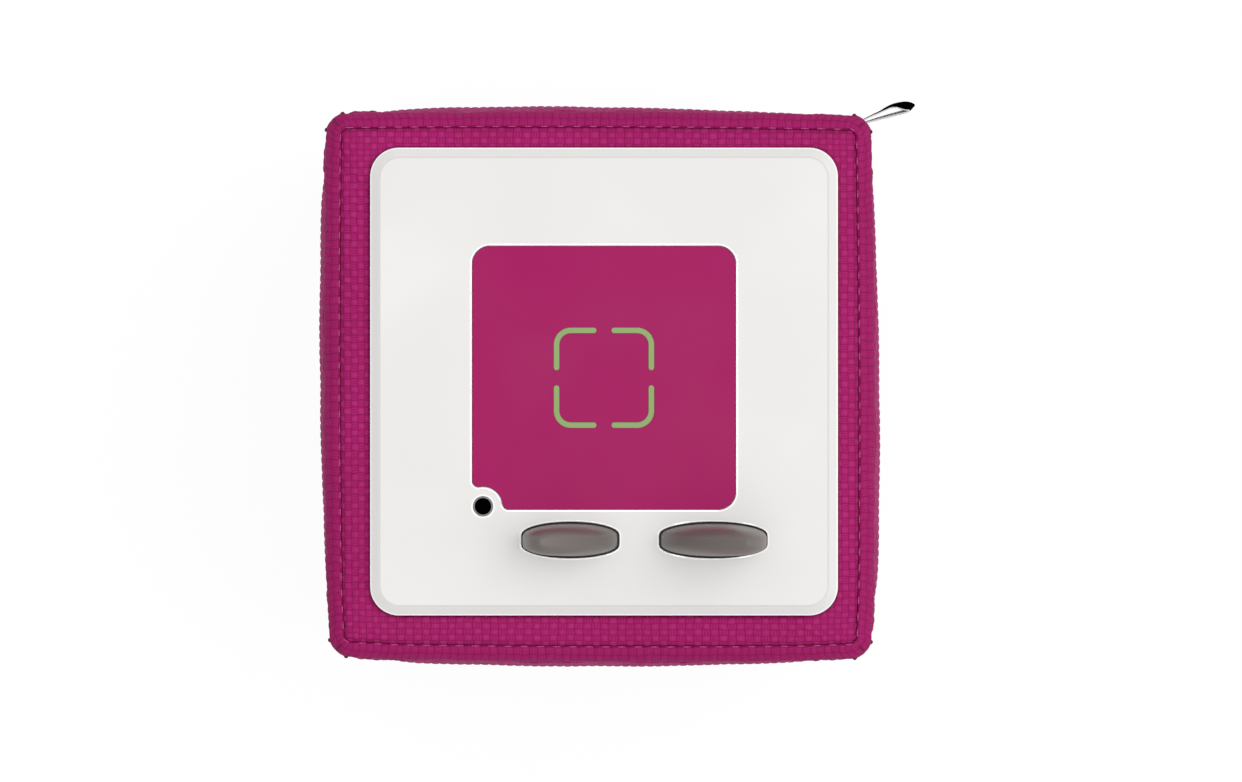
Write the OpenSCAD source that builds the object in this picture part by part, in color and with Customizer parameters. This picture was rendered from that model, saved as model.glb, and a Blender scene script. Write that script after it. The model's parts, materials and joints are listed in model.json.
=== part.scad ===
// Soft cube audio story player: a figure stands on the pad, and two squeezable ears set the volume.
// The origin is the centre of the footprint, on the surface that the player stands on.
// +Z is up, and the ears stand near the front edge, which faces -Y.

/* [Soft body] */
// Width of the soft body across the seams at its vertical corners
body_w = 114.2; // [112:0.2:122]
// Height of the soft body, from its bottom panel to its top panel
body_h = 115.4; // [112:0.2:122]
// Height of the bottom panel above the standing surface
body_lift = 2.3; // [2.3:0.1:4]
// Plan width of the strip that binds each edge of the body
binding_w = 3.1; // [2.6:0.1:3.6]
// How far each edge bows outwards halfway along
edge_bow = 1.1; // [0:0.1:2]
// How far each side swells beyond its seams
side_crown = 3; // [0:0.1:5]
// How deep each panel dips at its seams
seam_dip = 0.5; // [0.1:0.1:0.7]
// Thickness of the padded fabric
fabric_t = 1.2; // [1:0.1:1.6]
// Gap between sewn pieces, and between the fabric and the foam
seam_gap = 0.3; // [0.2:0.05:0.5]

/* [Top plate] */
// Width of the square top plate
plate_w = 99; // [96:0.5:100]
// Corner radius of the top plate
plate_r = 7.2; // [5:0.2:9]
// Thickness of the plate's flat panel
plate_t = 3; // [2.8:0.1:3.6]
// Height of the plate's flat top above the top panel of the fabric
plate_proud = 2.3; // [2.1:0.1:3]
// Plan width of the sloping rim
rim_w = 1.9; // [1:0.1:3]
// Height that the rim slopes down through
rim_drop = 0.8; // [0.4:0.1:1.2]
// How far the plate covers the edge of the fabric
rim_overlap = 2.7; // [2.4:0.1:3.2]
// Depth of the skirt under the plate
skirt_h = 8; // [7:0.5:9]
// Thickness of the skirt's wall
skirt_t = 1.8; // [1.4:0.1:2.4]

/* [Figure pad] */
// Width of the square pad
pad_w = 55.7; // [50:0.1:58]
// Corner radius of the pad
pad_r = 3.8; // [2:0.2:6]
// Thickness of the pad
pad_t = 1.5; // [1:0.1:1.6]
// How far the pad lies below the plate's flat top
pad_sunk = 0.3; // [0.1:0.1:0.6]
// Offset of the pad's centre from the plate's centre, towards the rear
pad_y = 0.8; // [-1:0.1:2]
// Radius of the notch that clears the indicator
notch_r = 4.2; // [3.4:0.1:5]
// Radius that blends the notch into the pad's sides
notch_blend = 1.3; // [0.6:0.1:2]
// Width of the dashed square that shows where a figure stands
mark_w = 21.2; // [16:0.2:26]
// Width of its stroke
mark_line = 1.15; // [0.8:0.05:1.6]
// Outer corner radius of the dashed square
mark_r = 3.6; // [2:0.2:5]
// Gap in the middle of each of its sides
mark_gap = 3.2; // [2:0.2:5]
// Depth of the coloured inlay
mark_t = 0.4; // [0.2:0.1:0.6]

/* [Indicator] */
// Distance of the indicator from the plate's centre, to the left
led_x = 25.6; // [24:0.2:27]
// Distance of the indicator from the plate's centre, to the front
led_y = 26.4; // [25:0.2:27.5]
// Radius of the dark window
led_r = 1.7; // [1.2:0.1:2]
// Outer radius of the ring round it
led_ring_r = 2.1; // [2.1:0.05:2.5]

/* [Ears] */
// Distance of both ears from the plate's centre, to the front
ear_y = 33.5; // [33:0.1:35]
// Offset of the small ear's centre, to the left
small_ear_x = 7.1; // [6:0.1:9]
// Offset of the big ear's centre, to the right
big_ear_x = 23.1; // [21:0.1:24]
// Length of the small ear at the plate
small_ear_l = 19.9; // [18:0.1:21]
// Length of the big ear at the plate
big_ear_l = 22.1; // [20:0.1:23]
// Thickness of an ear at the plate
ear_t = 6.9; // [6.8:0.1:7.6]
// Height of the small ear above the plate
small_ear_h = 22; // [20:0.5:26]
// Height of the big ear above the plate
big_ear_h = 27; // [24:0.5:30]
// How far an ear's tip leans to its outer side, as a share of its length
ear_lean = 0.3; // [0.1:0.02:0.34]
// Wall of the soft ear skin
skin_t = 1.1; // [0.9:0.05:1.2]
// Gap between an ear and the edge of its hole
ear_gap = 0.45; // [0.3:0.05:0.7]
// How far each half of an ear gives when it is squeezed
squeeze = 0.5; // [0.3:0.05:0.5]

/* [Inner case] */
// Wall of the inner case
case_t = 2; // [1.6:0.1:2.6]
// Height of the case's floor above the standing surface
floor_z = 8; // [8:0.2:10]
// Radius of the speaker's frame
speaker_r = 27; // [24:0.5:30]
// Height of the speaker's centre above the standing surface
speaker_z = 62; // [56:0.5:66]
// Radius of each battery cell
cell_r = 7.1; // [6.6:0.1:7.25]
// Length of each battery cell
cell_l = 50; // [44:0.5:56]
// Offset of the headphone socket from the centre, to the right
jack_x = 30; // [27:0.2:32]
// Height of the headphone socket above the standing surface
jack_z = 22; // [20:0.2:26]
// Radius of the headphone socket's bore
jack_bore_r = 1.8; // [1.8:0.02:1.9]
// Radius of the tunnel that lets a plug's grip reach the socket
tunnel_r = 5.6; // [5:0.1:6]

/* [Base] */
// Width of the base plate
base_w = 98; // [96:0.5:100]
// Thickness of the base plate
base_t = 2; // [1.6:0.1:2.4]
// How far the foot ring stands proud of the base plate
foot_proud = 0.8; // [0.5:0.1:1.2]
// Width of the foot ring
foot_w = 4; // [3:0.2:6]
// Distance of each charging contact from the centre
contact_x = 8.5; // [6:0.2:11]
// Radius of each charging contact
contact_r = 3; // [2:0.1:4]

/* [Label] */
// Height of the loop label
label_h = 12; // [8:0.5:16]
// Length of the loop label beyond the corner
label_l = 11.4; // [9:0.2:14]
// Thickness of the label's ribbon
label_t = 0.45; // [0.4:0.05:0.7]

/* [Hidden] */

$fn = 64;

fabric_pink = "#a62b6b";
pad_pink = "#a82364";
shell_white = "#efeeec";
ear_grey = "#7b7571";
mark_green = "#8bbf6d";

fit = 0.15; // clearance of pieces that drop into a pocket
slip = 0.05; // radial clearance of a plunger in its guide
cut = 1; // how far a cutting shape runs past what it cuts

// Soft body levels and half sizes
body_half = body_w / 2;
mid_z = body_lift + body_h / 2;
top_z = body_lift + body_h;
panel_drop = 1.3; // fall of the top panel from its crown to its seam
crown_power = 8; // how full a side stays towards its seams
seam_r = 1.2; // corner radius of the seam between an end panel and its strip
seam_half = body_half - binding_w;
seam_z = top_z - panel_drop;
side_half_h = seam_z - binding_w - mid_z;

// Top plate levels and half sizes
plate_half = plate_w / 2;
plate_top = top_z + plate_proud;
plate_under = plate_top - plate_t;
rim_under = top_z + 0.1;
opening_half = plate_half - rim_overlap;
opening_r = 6.2;
skirt_half = opening_half - 0.9;
skirt_r = 5.4;
chassis_t = 2;
chassis_half = skirt_half - skirt_t - fit;
chassis_r = 3.4;
chassis_top = plate_under - 6;
chassis_under = chassis_top - chassis_t;
screw_r = 1.1;
screw_head_r = 2.2;
screw_head_h = 1.5;
boss_r = 3.4;
plate_boss_at = 40;
case_post_at = 24;

// Pad levels
pad_top = plate_top - pad_sunk;
pad_under = pad_top - pad_t;

// Figure reader under the pad
reader_w = 47;
reader_t = 1;
reader_top = plate_under - 1.5;
coil_turns = 5;
coil_pitch = 1.4;
coil_line = 0.7;
coil_t = 0.1;

// Indicator
led_h = 0.6;
pipe_under = reader_top + led_h + 0.1;
pipe_flange = 0.4; // how far the light pipe's flange reaches past the ring

// Ears
ear_points = 28;
lens_power = 5; // how square an ear's ends are in plan
lens_taper = 0.35; // how much thinner an ear is at its ends than in its middle
ear_flange = 1.6; // how far the skin's flange reaches past the ear
lean_power = 1.6; // how late an ear starts to lean, going up
flange_t = 1.4;
flange_top = plate_under - 0.1;
flange_under = flange_top - flange_t;
board_half_t = 0.4;
spine_half_t = 0.5;
switch_w = 3;
switch_top = 1.05; // distance of a switch's top from the ear's middle plane
plunger_r = 0.8;
plunger_top = switch_top + squeeze + 0.1;
plunger_in = 0.07; // how much of a plunger stays in its switch at rest
paddle_inner = spine_half_t + squeeze + 0.15;
ear_steps = [0, 0.12, 0.25, 0.38, 0.5, 0.61, 0.71, 0.79, 0.86, 0.915, 0.955, 0.982, 0.996];

// Inner case
case_half = skirt_half;
case_r = 5.4;
case_top = chassis_under - 0.1;
case_under = floor_z - 5;
inner_half = case_half - case_t;
inner_r = case_r - case_t;
cavity_half = case_half + 0.2;
floor_top = floor_z + 2;
grille_r = speaker_r - 5;
grille_bar = 1.6;
grille_step = 4.6;

// Speaker, which fires forwards through the case's front wall
speaker_flange_t = 2;
speaker_screw_at = speaker_r - 4.6;
speaker_face = -inner_half + 0.1;
cone_r = speaker_r - 6;
cone_at = 0.65; // depth of the cone's rim behind the speaker's face
coil_r = 8;
magnet_r = 14;
magnet_t = 6;
basket_depth = 13;
coil_end = speaker_flange_t + basket_depth - cone_at + magnet_t * 0.4;

// Main board on the rear wall
main_w = 70;
main_h = 56;
main_t = 1.6;
main_top_room = 8.9; // from the board's upper edge to the case's
main_z = case_top - main_h - main_top_room;
main_face = inner_half - 3 - main_t;
board_screw_l = 4;
socket_x = [-4.5, 4.5, 13.5, 22.5]; // the lead sockets along the board's lower edge
socket_w = 7;
socket_d = 4.5;
socket_h = 5;
socket_z = main_z + 4;
processor = [12, 1.4, 12]; // sizes across, out of and up the board, and places from its lower left corner
processor_at = [40, 30];
radio = [18, 2.6, 14];
radio_at = [12, 36];
charger = [5, 1, 6];
charger_at = [46, 16];
card = [11, 0.7, 17];
card_at = [12, 12];
card_room = 0.6; // round the card in its slot
slot = [card.x + 4, 2.2, card.z - 1];
slot_at = [card_at.x - 2, card_at.y - 2];

// Battery pack on the floor
cell_gap = 0.6;
pack_y = 5;
cell_y = [for (k = [-1:1]) pack_y + k * (2 * cell_r + cell_gap)];
sleeve_t = 0.35;
cell_z = floor_top + sleeve_t + 0.2 + cell_r;
retainer_w = 12;
retainer_leg_y = [cell_y[0] - cell_r - 5.2, cell_y[2] + cell_r + 3.4];
retainer_t = 1.6;
retainer_screw_l = 3.4;

// Leads inside the case
lead_r = 0.8;
lead_sides = 6;
lead_hole = [-29, 2]; // where the charging lead passes the case's floor

// Headphone socket
jack_mouth = case_half + 1.2;
jack_l = 14;
jack_body_w = 9;
jack_neck_r = 2.9;
collar_r = tunnel_r + 1.2;
collar_flange_r = collar_r + 2;
collar_flange_t = 1.2;
collar_end = side_x(jack_x / seam_half, (jack_z - mid_z) / side_half_h, seam_half);

// Base
base_half = base_w / 2;
base_r = 7;
base_under = foot_proud;
base_top = base_under + base_t;
base_body_half = inner_half - fit;
foot_half = 40;
foot_r = 7;
foot_bed = 1.2; // how deep the foot ring is let into the base plate
dock_r = 24;
dock_depth = 0.8;
base_screw_at = 33;
charge_board_under = base_top + 1.2;

// Loop label at the rear right corner
label_mid_z = 97;
label_root = [body_half - 1.05, body_half - 0.7];
label_turn = 16.5; // direction of the loop in plan
label_belly = 2.3; // widest opening of the loop
label_tilt = 1.5; // how far the loop's top leans forwards at its tip

// ---------- 2D outlines ----------

module rounded_square(half, r) {
    square([2 * half, 2 * (half - r)], center = true);
    square([2 * (half - r), 2 * half], center = true);
    for (x = [-1, 1], y = [-1, 1])
        translate([x * (half - r), y * (half - r)]) circle(r);
}

// A lens with blunt ends, as an ear is in plan: a rounded box whose long sides bulge
function lens(half_l, half_t, count) =
    [for (k = [0:count - 1])
        let (
            a = 360 * (k + 0.5) / count,
            reach = pow(pow(abs(cos(a)), lens_power) + pow(abs(sin(a)), lens_power), -1 / lens_power),
            u = reach * cos(a)
        )
        [half_l * u, half_t * reach * sin(a) * (1 - lens_taper * u * u)]];

// The concave corner that the notch leaves, blended into both sides of the pad
module notch_cut(grow = 0) {
    reach = notch_r - grow;
    blend = notch_blend + grow;
    // the notch's centre, seen from the pad's corner, and the blends that touch it and each side
    dx = -led_x + pad_w / 2 + grow;
    dy = -led_y - pad_y + pad_w / 2 + grow;
    far = reach + blend;
    bx = dx + sqrt(pow(far, 2) - pow(dy - blend, 2));
    by = dy + sqrt(pow(far, 2) - pow(dx - blend, 2));
    translate([-pad_w / 2 - grow, -pad_w / 2 - grow]) difference() {
        union() {
            translate([dx, dy]) circle(reach);
            translate([-cut, -cut]) square([cut + bx, cut + blend]);
            translate([-cut, -cut]) square([cut + blend, cut + by]);
            square([dx, dy]);
        }
        translate([bx, blend]) circle(blend);
        translate([blend, by]) circle(blend);
    }
}

module pad_outline(grow = 0) {
    translate([0, pad_y]) difference() {
        rounded_square(pad_w / 2 + grow, pad_r + grow);
        notch_cut(grow);
    }
}

// One quarter of the dashed square: a bent stroke with round ends
module mark_quarter(grow = 0) {
    half = mark_w / 2 - mark_line / 2;
    bend = mark_r - mark_line / 2;
    line = mark_line + 2 * grow;
    start = mark_gap / 2 + mark_line / 2;
    translate([start, half - line / 2]) square([half - bend - start, line]);
    translate([half - line / 2, start]) square([line, half - bend - start]);
    translate([start, half]) circle(line / 2);
    translate([half, start]) circle(line / 2);
    translate([half - bend, half - bend]) intersection() {
        difference() {
            circle(bend + line / 2);
            circle(bend - line / 2);
        }
        square(bend + line);
    }
}

module mark_strokes(grow = 0) {
    translate([0, pad_y])
        for (x = [0, 1], y = [0, 1])
            mirror([x, 0]) mirror([0, y]) mark_quarter(grow);
}

// ---------- Lofted forms ----------

// A closed surface through rings of points that run anticlockwise seen from the way that the rings advance
module loft(rings, closed = false) {
    m = len(rings[0]);
    n = len(rings);
    last = closed ? n - 1 : n - 2;
    sides = [for (i = [0:last], j = [0:m - 1])
        let (a = i * m, b = ((i + 1) % n) * m, k = (j + 1) % m)
        each [[a + j, b + k, a + k], [a + j, b + j, b + k]]];
    caps = closed ? [] : [for (j = [0:m / 2 - 2])
        let (e = (n - 1) * m, p = m - 1 - j, q = m - 2 - j)
        each [[j, j + 1, q], [j, q, p], [e + j, e + q, e + j + 1], [e + j, e + p, e + q]]];
    polyhedron([for (r = rings) each r], concat(sides, caps));
}

// Bows each side of a square outwards
function bowed(x, y, half, bow) =
    [x * (1 + bow / half * (1 - pow(y / half, 2))), y * (1 + bow / half * (1 - pow(x / half, 2)))];

// A rounded square ring at height z, as [half width, corner radius, bow, z]
function square_ring(q, arc = 4, side = 6) =
    let (half = q[0], r = q[1], flat = half - r)
    [for (c = [0:3], k = [0:arc + side - 1])
        let (
            turn = k <= arc ? 90 * k / arc : 90,
            along = k <= arc ? 0 : (k - arc) / side,
            x = flat + r * cos(turn) - 2 * flat * along,
            y = flat + r * sin(turn),
            p = [x * cos(90 * c) - y * sin(90 * c), x * sin(90 * c) + y * cos(90 * c)],
            b = bowed(p.x, p.y, half, q[2])
        )
        [b.x, b.y, q[3]]];

// ---------- Soft cover ----------

panel_steps = [-1, -0.97, -0.9, -0.75, -0.45, 0, 0.45, 0.75, 0.9, 0.97, 1];

// How far the right side lies from the middle, at v across and w up, both from -1 to 1
function side_x(v, w, half_y) =
    body_half + edge_bow * (1 - pow(v * half_y / body_half, 2))
    + side_crown * (1 - pow(abs(v), crown_power)) * (1 - pow(abs(w), crown_power));

function side_point(v, w, inset) =
    let (y = seam_half - seam_gap / 2, z = side_half_h - seam_gap / 3)
    [side_x(v, w, y) - inset, v * y, mid_z + w * z];

function panel_dip(v, w) = max(abs(v), abs(w)) > 0.99 ? seam_dip : 0;

module side_panel() {
    last = len(panel_steps) - 1;
    loft([for (w = panel_steps) concat(
        [for (k = [0:last]) side_point(panel_steps[k], w, panel_dip(panel_steps[k], w))],
        [for (k = [0:last]) side_point(panel_steps[last - k], w, fabric_t)]
    )]);
}

// The square ring of fabric between a binding and a plate
module end_panel() {
    loft([for (q = [
        [seam_half, seam_r, edge_bow * 0.8, seam_z - seam_dip - 0.6],
        [seam_half, seam_r, edge_bow * 0.8, seam_z],
        [seam_half - 0.6, seam_r + 0.4, edge_bow * 0.8, seam_z + 0.7],
        [seam_half - 2, seam_r + 2, edge_bow * 0.7, top_z - 0.1],
        [plate_half + 0.5, 6.2, edge_bow * 0.3, top_z],
        [plate_half - 0.5, 7, 0, top_z - 0.2],
        [opening_half, opening_r, 0, top_z - 0.8],
        [opening_half, opening_r, 0, top_z - 0.8 - fabric_t * 0.8],
        [seam_half - 2, seam_r + 2, edge_bow * 0.7, top_z - 0.1 - fabric_t]
    ]) square_ring(q)], closed = true);
}

module binding_ring() {
    inner = seam_half + seam_gap * 0.7;
    outer = body_half;
    low = seam_z - binding_w + seam_gap;
    loft([for (q = [
        [outer + 0.05, 4.4, edge_bow, low],
        [outer + 0.15, 4.4, edge_bow, low + 0.8],
        [outer - 0.9, 3.4, edge_bow, seam_z - 0.8],
        [inner + 0.8, seam_r + 0.8, edge_bow * 0.9, seam_z + 0.15],
        [inner, seam_r + 0.2, edge_bow * 0.8, seam_z - 0.1],
        [inner, seam_r + 0.2, edge_bow * 0.8, seam_z - 1],
        [outer - 0.9, 3.6, edge_bow, low]
    ]) square_ring(q)], closed = true);
}

// The strip down one vertical corner, bound to the panels on both sides of it
module corner_strip() {
    middle = (body_half + seam_half) / 2;
    reach = (binding_w - 2 * seam_gap / 3) / sqrt(2);
    across = [[-1, 0], [-0.65, 0.45], [0, 0.65], [0.65, 0.45], [1, 0]];
    back = [[0.6, -1], [0.3, -1], [0, -1], [-0.3, -1], [-0.6, -1]];
    half_h = side_half_h - seam_gap / 3;
    loft([for (w = [-1, -0.5, 0, 0.5, 1])
        [for (p = concat(across, back))
            let (t = p.x * reach / sqrt(2), d = p.y / sqrt(2))
            [middle + d - t, middle + d + t, mid_z + w * half_h]]]);
}

// The foam cube that the fabric is pulled over
module foam_outside() {
    inset = fabric_t + seam_gap;
    steps = [-1, -0.9, -0.75, 0, 0.75, 0.9, 1];
    side = [for (v = steps, w = steps)
        let (p = side_point(v, w, inset)) [p.x, p.y - v * 0.3, p.z - w * 0.2]];
    end_half = seam_half - 0.4;
    end_rise = seam_z - 1.8 - mid_z;
    end = [for (x = [-1, 1], y = [-1, 1], z = [-1, 1])
        [x * end_half, y * end_half, mid_z + z * end_rise]];
    turned = [for (a = [0:90:270], p = side)
        [p.x * cos(a) - p.y * sin(a), p.x * sin(a) + p.y * cos(a), p.z]];
    all = concat(turned, end);
    hull() polyhedron(all, [for (k = [0:len(all) - 3]) [k, k + 1, k + 2]]);
}

// A round way to the headphone socket, from one distance behind the centre to another
module jack_way(r, from, to = body_w) {
    translate([jack_x, from, jack_z]) rotate([-90, 0, 0]) cylinder(r = r, h = to - from);
}

module foam_block() {
    color("darkslategray") difference() {
        foam_outside();
        translate([0, 0, -cut]) linear_extrude(top_z + 2 * cut)
            rounded_square(cavity_half, case_r + 0.2);
        translate([0, 0, speaker_z]) rotate([90, 0, 0]) cylinder(r = grille_r + 2, h = body_w);
        jack_way(collar_r + 0.2, case_half - cut);
        jack_way(collar_flange_r + 0.3, case_half - cut, case_half + collar_flange_t + 0.3);
    }
}

module upside_down() { translate([0, 0, mid_z]) mirror([0, 0, 1]) translate([0, 0, -mid_z]) children(); }

module cover_top() { color(fabric_pink) end_panel(); }
module cover_bottom() { color(fabric_pink) upside_down() end_panel(); }
module cover_right() { color(fabric_pink) side_panel(); }
module cover_left() { color(fabric_pink) rotate(180) side_panel(); }
module cover_front() { color(fabric_pink) rotate(-90) side_panel(); }
module cover_rear() {
    color(fabric_pink) difference() {
        rotate(90) side_panel();
        jack_way(collar_r + 0.2, case_half);
    }
}
module cover_top_binding() { color(fabric_pink) binding_ring(); }
module cover_bottom_binding() {
    color(fabric_pink) upside_down() binding_ring();
}
module cover_corner_bindings() {
    color(fabric_pink) for (a = [0:90:270]) rotate(a) corner_strip();
}

// Distance of the ribbon from the loop's own axis, at s from 0 at the root to 1 at the tip
function label_side(s) = label_belly / 2 * pow(sin(180 * pow(s, 0.8)), 0.7);

module label_loop() {
    steps = 14;
    path = [for (k = [0:2 * steps])
        let (s = k <= steps ? k / steps : 2 - k / steps, side = k <= steps ? 1 : -1)
        [label_l * sin(90 * s), side * (0.25 + label_side(s)) * (k == steps ? 0 : 1), s]];
    color("black") translate([label_root.x, label_root.y, label_mid_z]) rotate(label_turn)
        loft([for (k = [0:2 * steps])
            let (
                p = path[k],
                q = path[min(k + 1, 2 * steps)],
                o = path[max(k - 1, 0)],
                d = [q.x - o.x, q.y - o.y] / norm([q.x - o.x, q.y - o.y]),
                n = [-d.y, d.x] * label_t / 2,
                lean = label_tilt * pow(p[2], 2) / 2,
                half = label_h / 2
            )
            [[p.x - n.x, p.y - n.y + lean, -half], [p.x + n.x, p.y + n.y + lean, -half],
             [p.x + n.x, p.y + n.y - lean, half], [p.x - n.x, p.y - n.y - lean, half]]]);
}

// ---------- Top plate and pad ----------

module ear_hole(x, length, grow) {
    translate([x, -ear_y]) polygon(lens(length / 2 + grow, ear_t / 2 + grow, 56));
}

module plate_blank() {
    hull() {
        translate([0, 0, rim_under]) linear_extrude(plate_top - rim_drop - rim_under)
            rounded_square(plate_half, plate_r);
        translate([0, 0, rim_under]) linear_extrude(plate_top - rim_under)
            rounded_square(plate_half - rim_w, plate_r - rim_w);
    }
    translate([0, 0, plate_under]) linear_extrude(rim_under - plate_under + 0.01)
        rounded_square(skirt_half, skirt_r);
}

module top_plate() {
    color(shell_white) difference() {
        union() {
            plate_blank();
            translate([0, 0, plate_under - skirt_h]) linear_extrude(skirt_h) difference() {
                rounded_square(skirt_half, skirt_r);
                rounded_square(skirt_half - skirt_t, skirt_r - skirt_t);
            }
            for (x = [-1, 1], y = [-1, 1])
                translate([x * plate_boss_at, y * plate_boss_at, chassis_top + 0.05])
                    cylinder(r = boss_r, h = plate_under - chassis_top);
        }
        translate([0, 0, pad_under]) linear_extrude(plate_t) pad_outline(fit);
        translate([-led_x, -led_y, plate_under - cut])
            cylinder(r = led_ring_r + slip, h = plate_t + 2 * cut);
        translate([0, 0, plate_under - cut]) linear_extrude(plate_t + 2 * cut) {
            ear_hole(-small_ear_x, small_ear_l, ear_gap);
            ear_hole(big_ear_x, big_ear_l, ear_gap);
        }
        for (x = [-1, 1], y = [-1, 1])
            translate([x * plate_boss_at, y * plate_boss_at, chassis_top - cut])
                cylinder(r = screw_r + slip, h = plate_under - chassis_top + cut - 0.5);
    }
}

module figure_pad() {
    color(pad_pink) difference() {
        translate([0, 0, pad_under]) linear_extrude(pad_t) pad_outline();
        translate([0, 0, pad_top - mark_t]) linear_extrude(mark_t + cut) mark_strokes(slip);
    }
}

module placement_marks() {
    color(mark_green) translate([0, 0, pad_top - mark_t]) linear_extrude(mark_t) mark_strokes();
}

module led_bezel() {
    color("gray") translate([-led_x, -led_y, plate_under]) difference() {
        cylinder(r = led_ring_r, h = plate_t - 0.1);
        translate([0, 0, -cut]) cylinder(r = led_r + slip, h = plate_t + 2 * cut);
    }
}

module light_pipe() {
    flange_r = led_ring_r + pipe_flange;
    step = plate_under - 0.15 - pipe_under;
    rise = plate_top - 0.2 - pipe_under;
    color("black") translate([-led_x, -led_y, pipe_under]) rotate_extrude()
        polygon([[0, 0], [flange_r, 0], [flange_r, step], [led_r, step], [led_r, rise], [0, rise]]);
}

// ---------- Reader, magnet and chassis ----------

module nfc_board() {
    color("darkgreen") translate([0, 0, reader_top - reader_t]) linear_extrude(reader_t) {
        translate([0, pad_y]) square(reader_w, center = true);
        translate([-led_x - 3, -led_y - 3]) square([8, 8]);
    }
}

// One unbroken flat trace that winds inwards in square turns
module nfc_coil() {
    outer = reader_w / 2 - 2;
    last = 4 * coil_turns - 1;
    spiral = [for (k = [0:last])
        let (turn = floor(k / 4), h = outer - coil_pitch * turn, c = k % 4)
        c == 0 ? [-h - (turn > 0 ? coil_pitch : 0), -h] : c == 1 ? [h, -h] : c == 2 ? [h, h] : [-h, h]];
    color("goldenrod") translate([0, pad_y, reader_top]) linear_extrude(coil_t)
        for (k = [0:last - 1]) {
            a = spiral[k];
            b = spiral[k + 1];
            translate([min(a.x, b.x) - coil_line / 2, min(a.y, b.y) - coil_line / 2])
                square([abs(a.x - b.x) + coil_line, abs(a.y - b.y) + coil_line]);
        }
}

module indicator_led() {
    color("lightyellow") translate([-led_x, -led_y, reader_top]) linear_extrude(led_h)
        square([2.8, 2.4], center = true);
}

module holding_magnet() {
    color("silver") translate([0, pad_y, chassis_top]) cylinder(r = 10, h = 3);
}

module at_plate_bosses() {
    for (x = [-1, 1], y = [-1, 1]) translate([x * plate_boss_at, y * plate_boss_at, 0]) children();
}

module at_case_posts() {
    for (x = [-1, 1], y = [-1, 1]) translate([x * (inner_half - 3.4), y * case_post_at, 0]) children();
}

module ear_pedestal(x, length) {
    difference() {
        linear_extrude(flange_under - 0.05 - chassis_top) ear_hole(x, length, ear_flange + 0.4);
        translate([0, 0, -cut]) linear_extrude(flange_under + 2 * cut - chassis_top)
            ear_hole(x, length, -skin_t);
    }
}

module top_chassis() {
    color("dimgray") difference() {
        union() {
            translate([0, 0, chassis_under]) linear_extrude(chassis_t)
                rounded_square(chassis_half, chassis_r);
            translate([0, 0, chassis_top]) {
                ear_pedestal(-small_ear_x, small_ear_l);
                ear_pedestal(big_ear_x, big_ear_l);
                // ledges that carry the reader board
                for (x = [-1, 1], y = [-1, 1]) translate([x * 18, pad_y + y * 18, 0])
                    cylinder(r = 2.5, h = reader_top - reader_t - chassis_top - 0.05);
            }
        }
        translate([0, 0, chassis_under - cut]) {
            at_plate_bosses() cylinder(r = screw_r + 0.2, h = chassis_t + 2 * cut);
            at_case_posts() cylinder(r = screw_r + 0.2, h = chassis_t + 2 * cut);
        }
        // the slots that the ear spines drop into, and the way for their leads
        translate([0, 0, chassis_under - cut]) linear_extrude(chassis_t + cut + 0.001) {
            for (ear = [[-small_ear_x, small_ear_l], [big_ear_x, big_ear_l]])
                translate([ear.x - spine_w(ear.y) / 2 - fit, -ear_y - spine_half_t - fit])
                    square([spine_w(ear.y) + 2 * fit, 2 * spine_half_t + 2 * fit]);
            translate([0, 32]) square([26, 8], center = true);
        }
    }
}

module screw_down(length) {
    cylinder(r = screw_r, h = length);
    difference() {
        translate([0, 0, length]) cylinder(r = screw_head_r, h = screw_head_h);
        translate([0, 0, length + 0.6]) for (a = [0, 90]) rotate(a)
            translate([-1.3, -0.25, 0]) cube([2.6, 0.5, screw_head_h]);
    }
}

module chassis_screws() {
    color("silver") {
        translate([0, 0, chassis_under]) at_plate_bosses()
            rotate([180, 0, 0]) translate([0, 0, -7]) screw_down(7);
        translate([0, 0, chassis_top - 9]) at_case_posts() screw_down(9);
    }
}

// ---------- Ears ----------

// An ear's half length, half thickness and lean at a share s of its height
function ear_half_l(s, half_l) = half_l * pow(1 - pow(s, 1.8), 0.7);
function ear_half_t(s, half_t) = half_t * sqrt(1 - pow(s, 5)) * (1 - 0.06 * s);
function ear_shift(s, half_l) = 2 * ear_lean * half_l * pow(s, lean_power);

// A ring round an ear that is drawn in by inset all over, at a share s of its height
function ear_ring(s, length, height, inset, side) =
    let (
        half_l = length / 2 - inset,
        half_t = ear_t / 2 - inset,
        top = height - inset * 1.25,
        shift = side * ear_shift(s, half_l)
    )
    [for (p = lens(ear_half_l(s, half_l), ear_half_t(s, half_t), ear_points))
        [p.x + shift, p.y, plate_top + s * top]];

function foot_ring_points(length, grow, z) =
    [for (p = lens(length / 2 + grow, ear_t / 2 + grow, ear_points)) [p.x, p.y, z]];

// The hollow skin, from the top of its inside, down round its flange, and up to its tip
module ear_skin(length, height, side) {
    inside = [for (k = [len(ear_steps) - 1:-1:0]) ear_ring(ear_steps[k], length, height, skin_t, side)];
    outside = [for (s = ear_steps) ear_ring(s, length, height, 0, side)];
    loft(concat(
        inside,
        [foot_ring_points(length, -skin_t, flange_under)],
        [foot_ring_points(length, ear_flange, flange_under)],
        [foot_ring_points(length, ear_flange, flange_top)],
        [foot_ring_points(length, 0, flange_top)],
        outside
    ));
}

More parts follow.
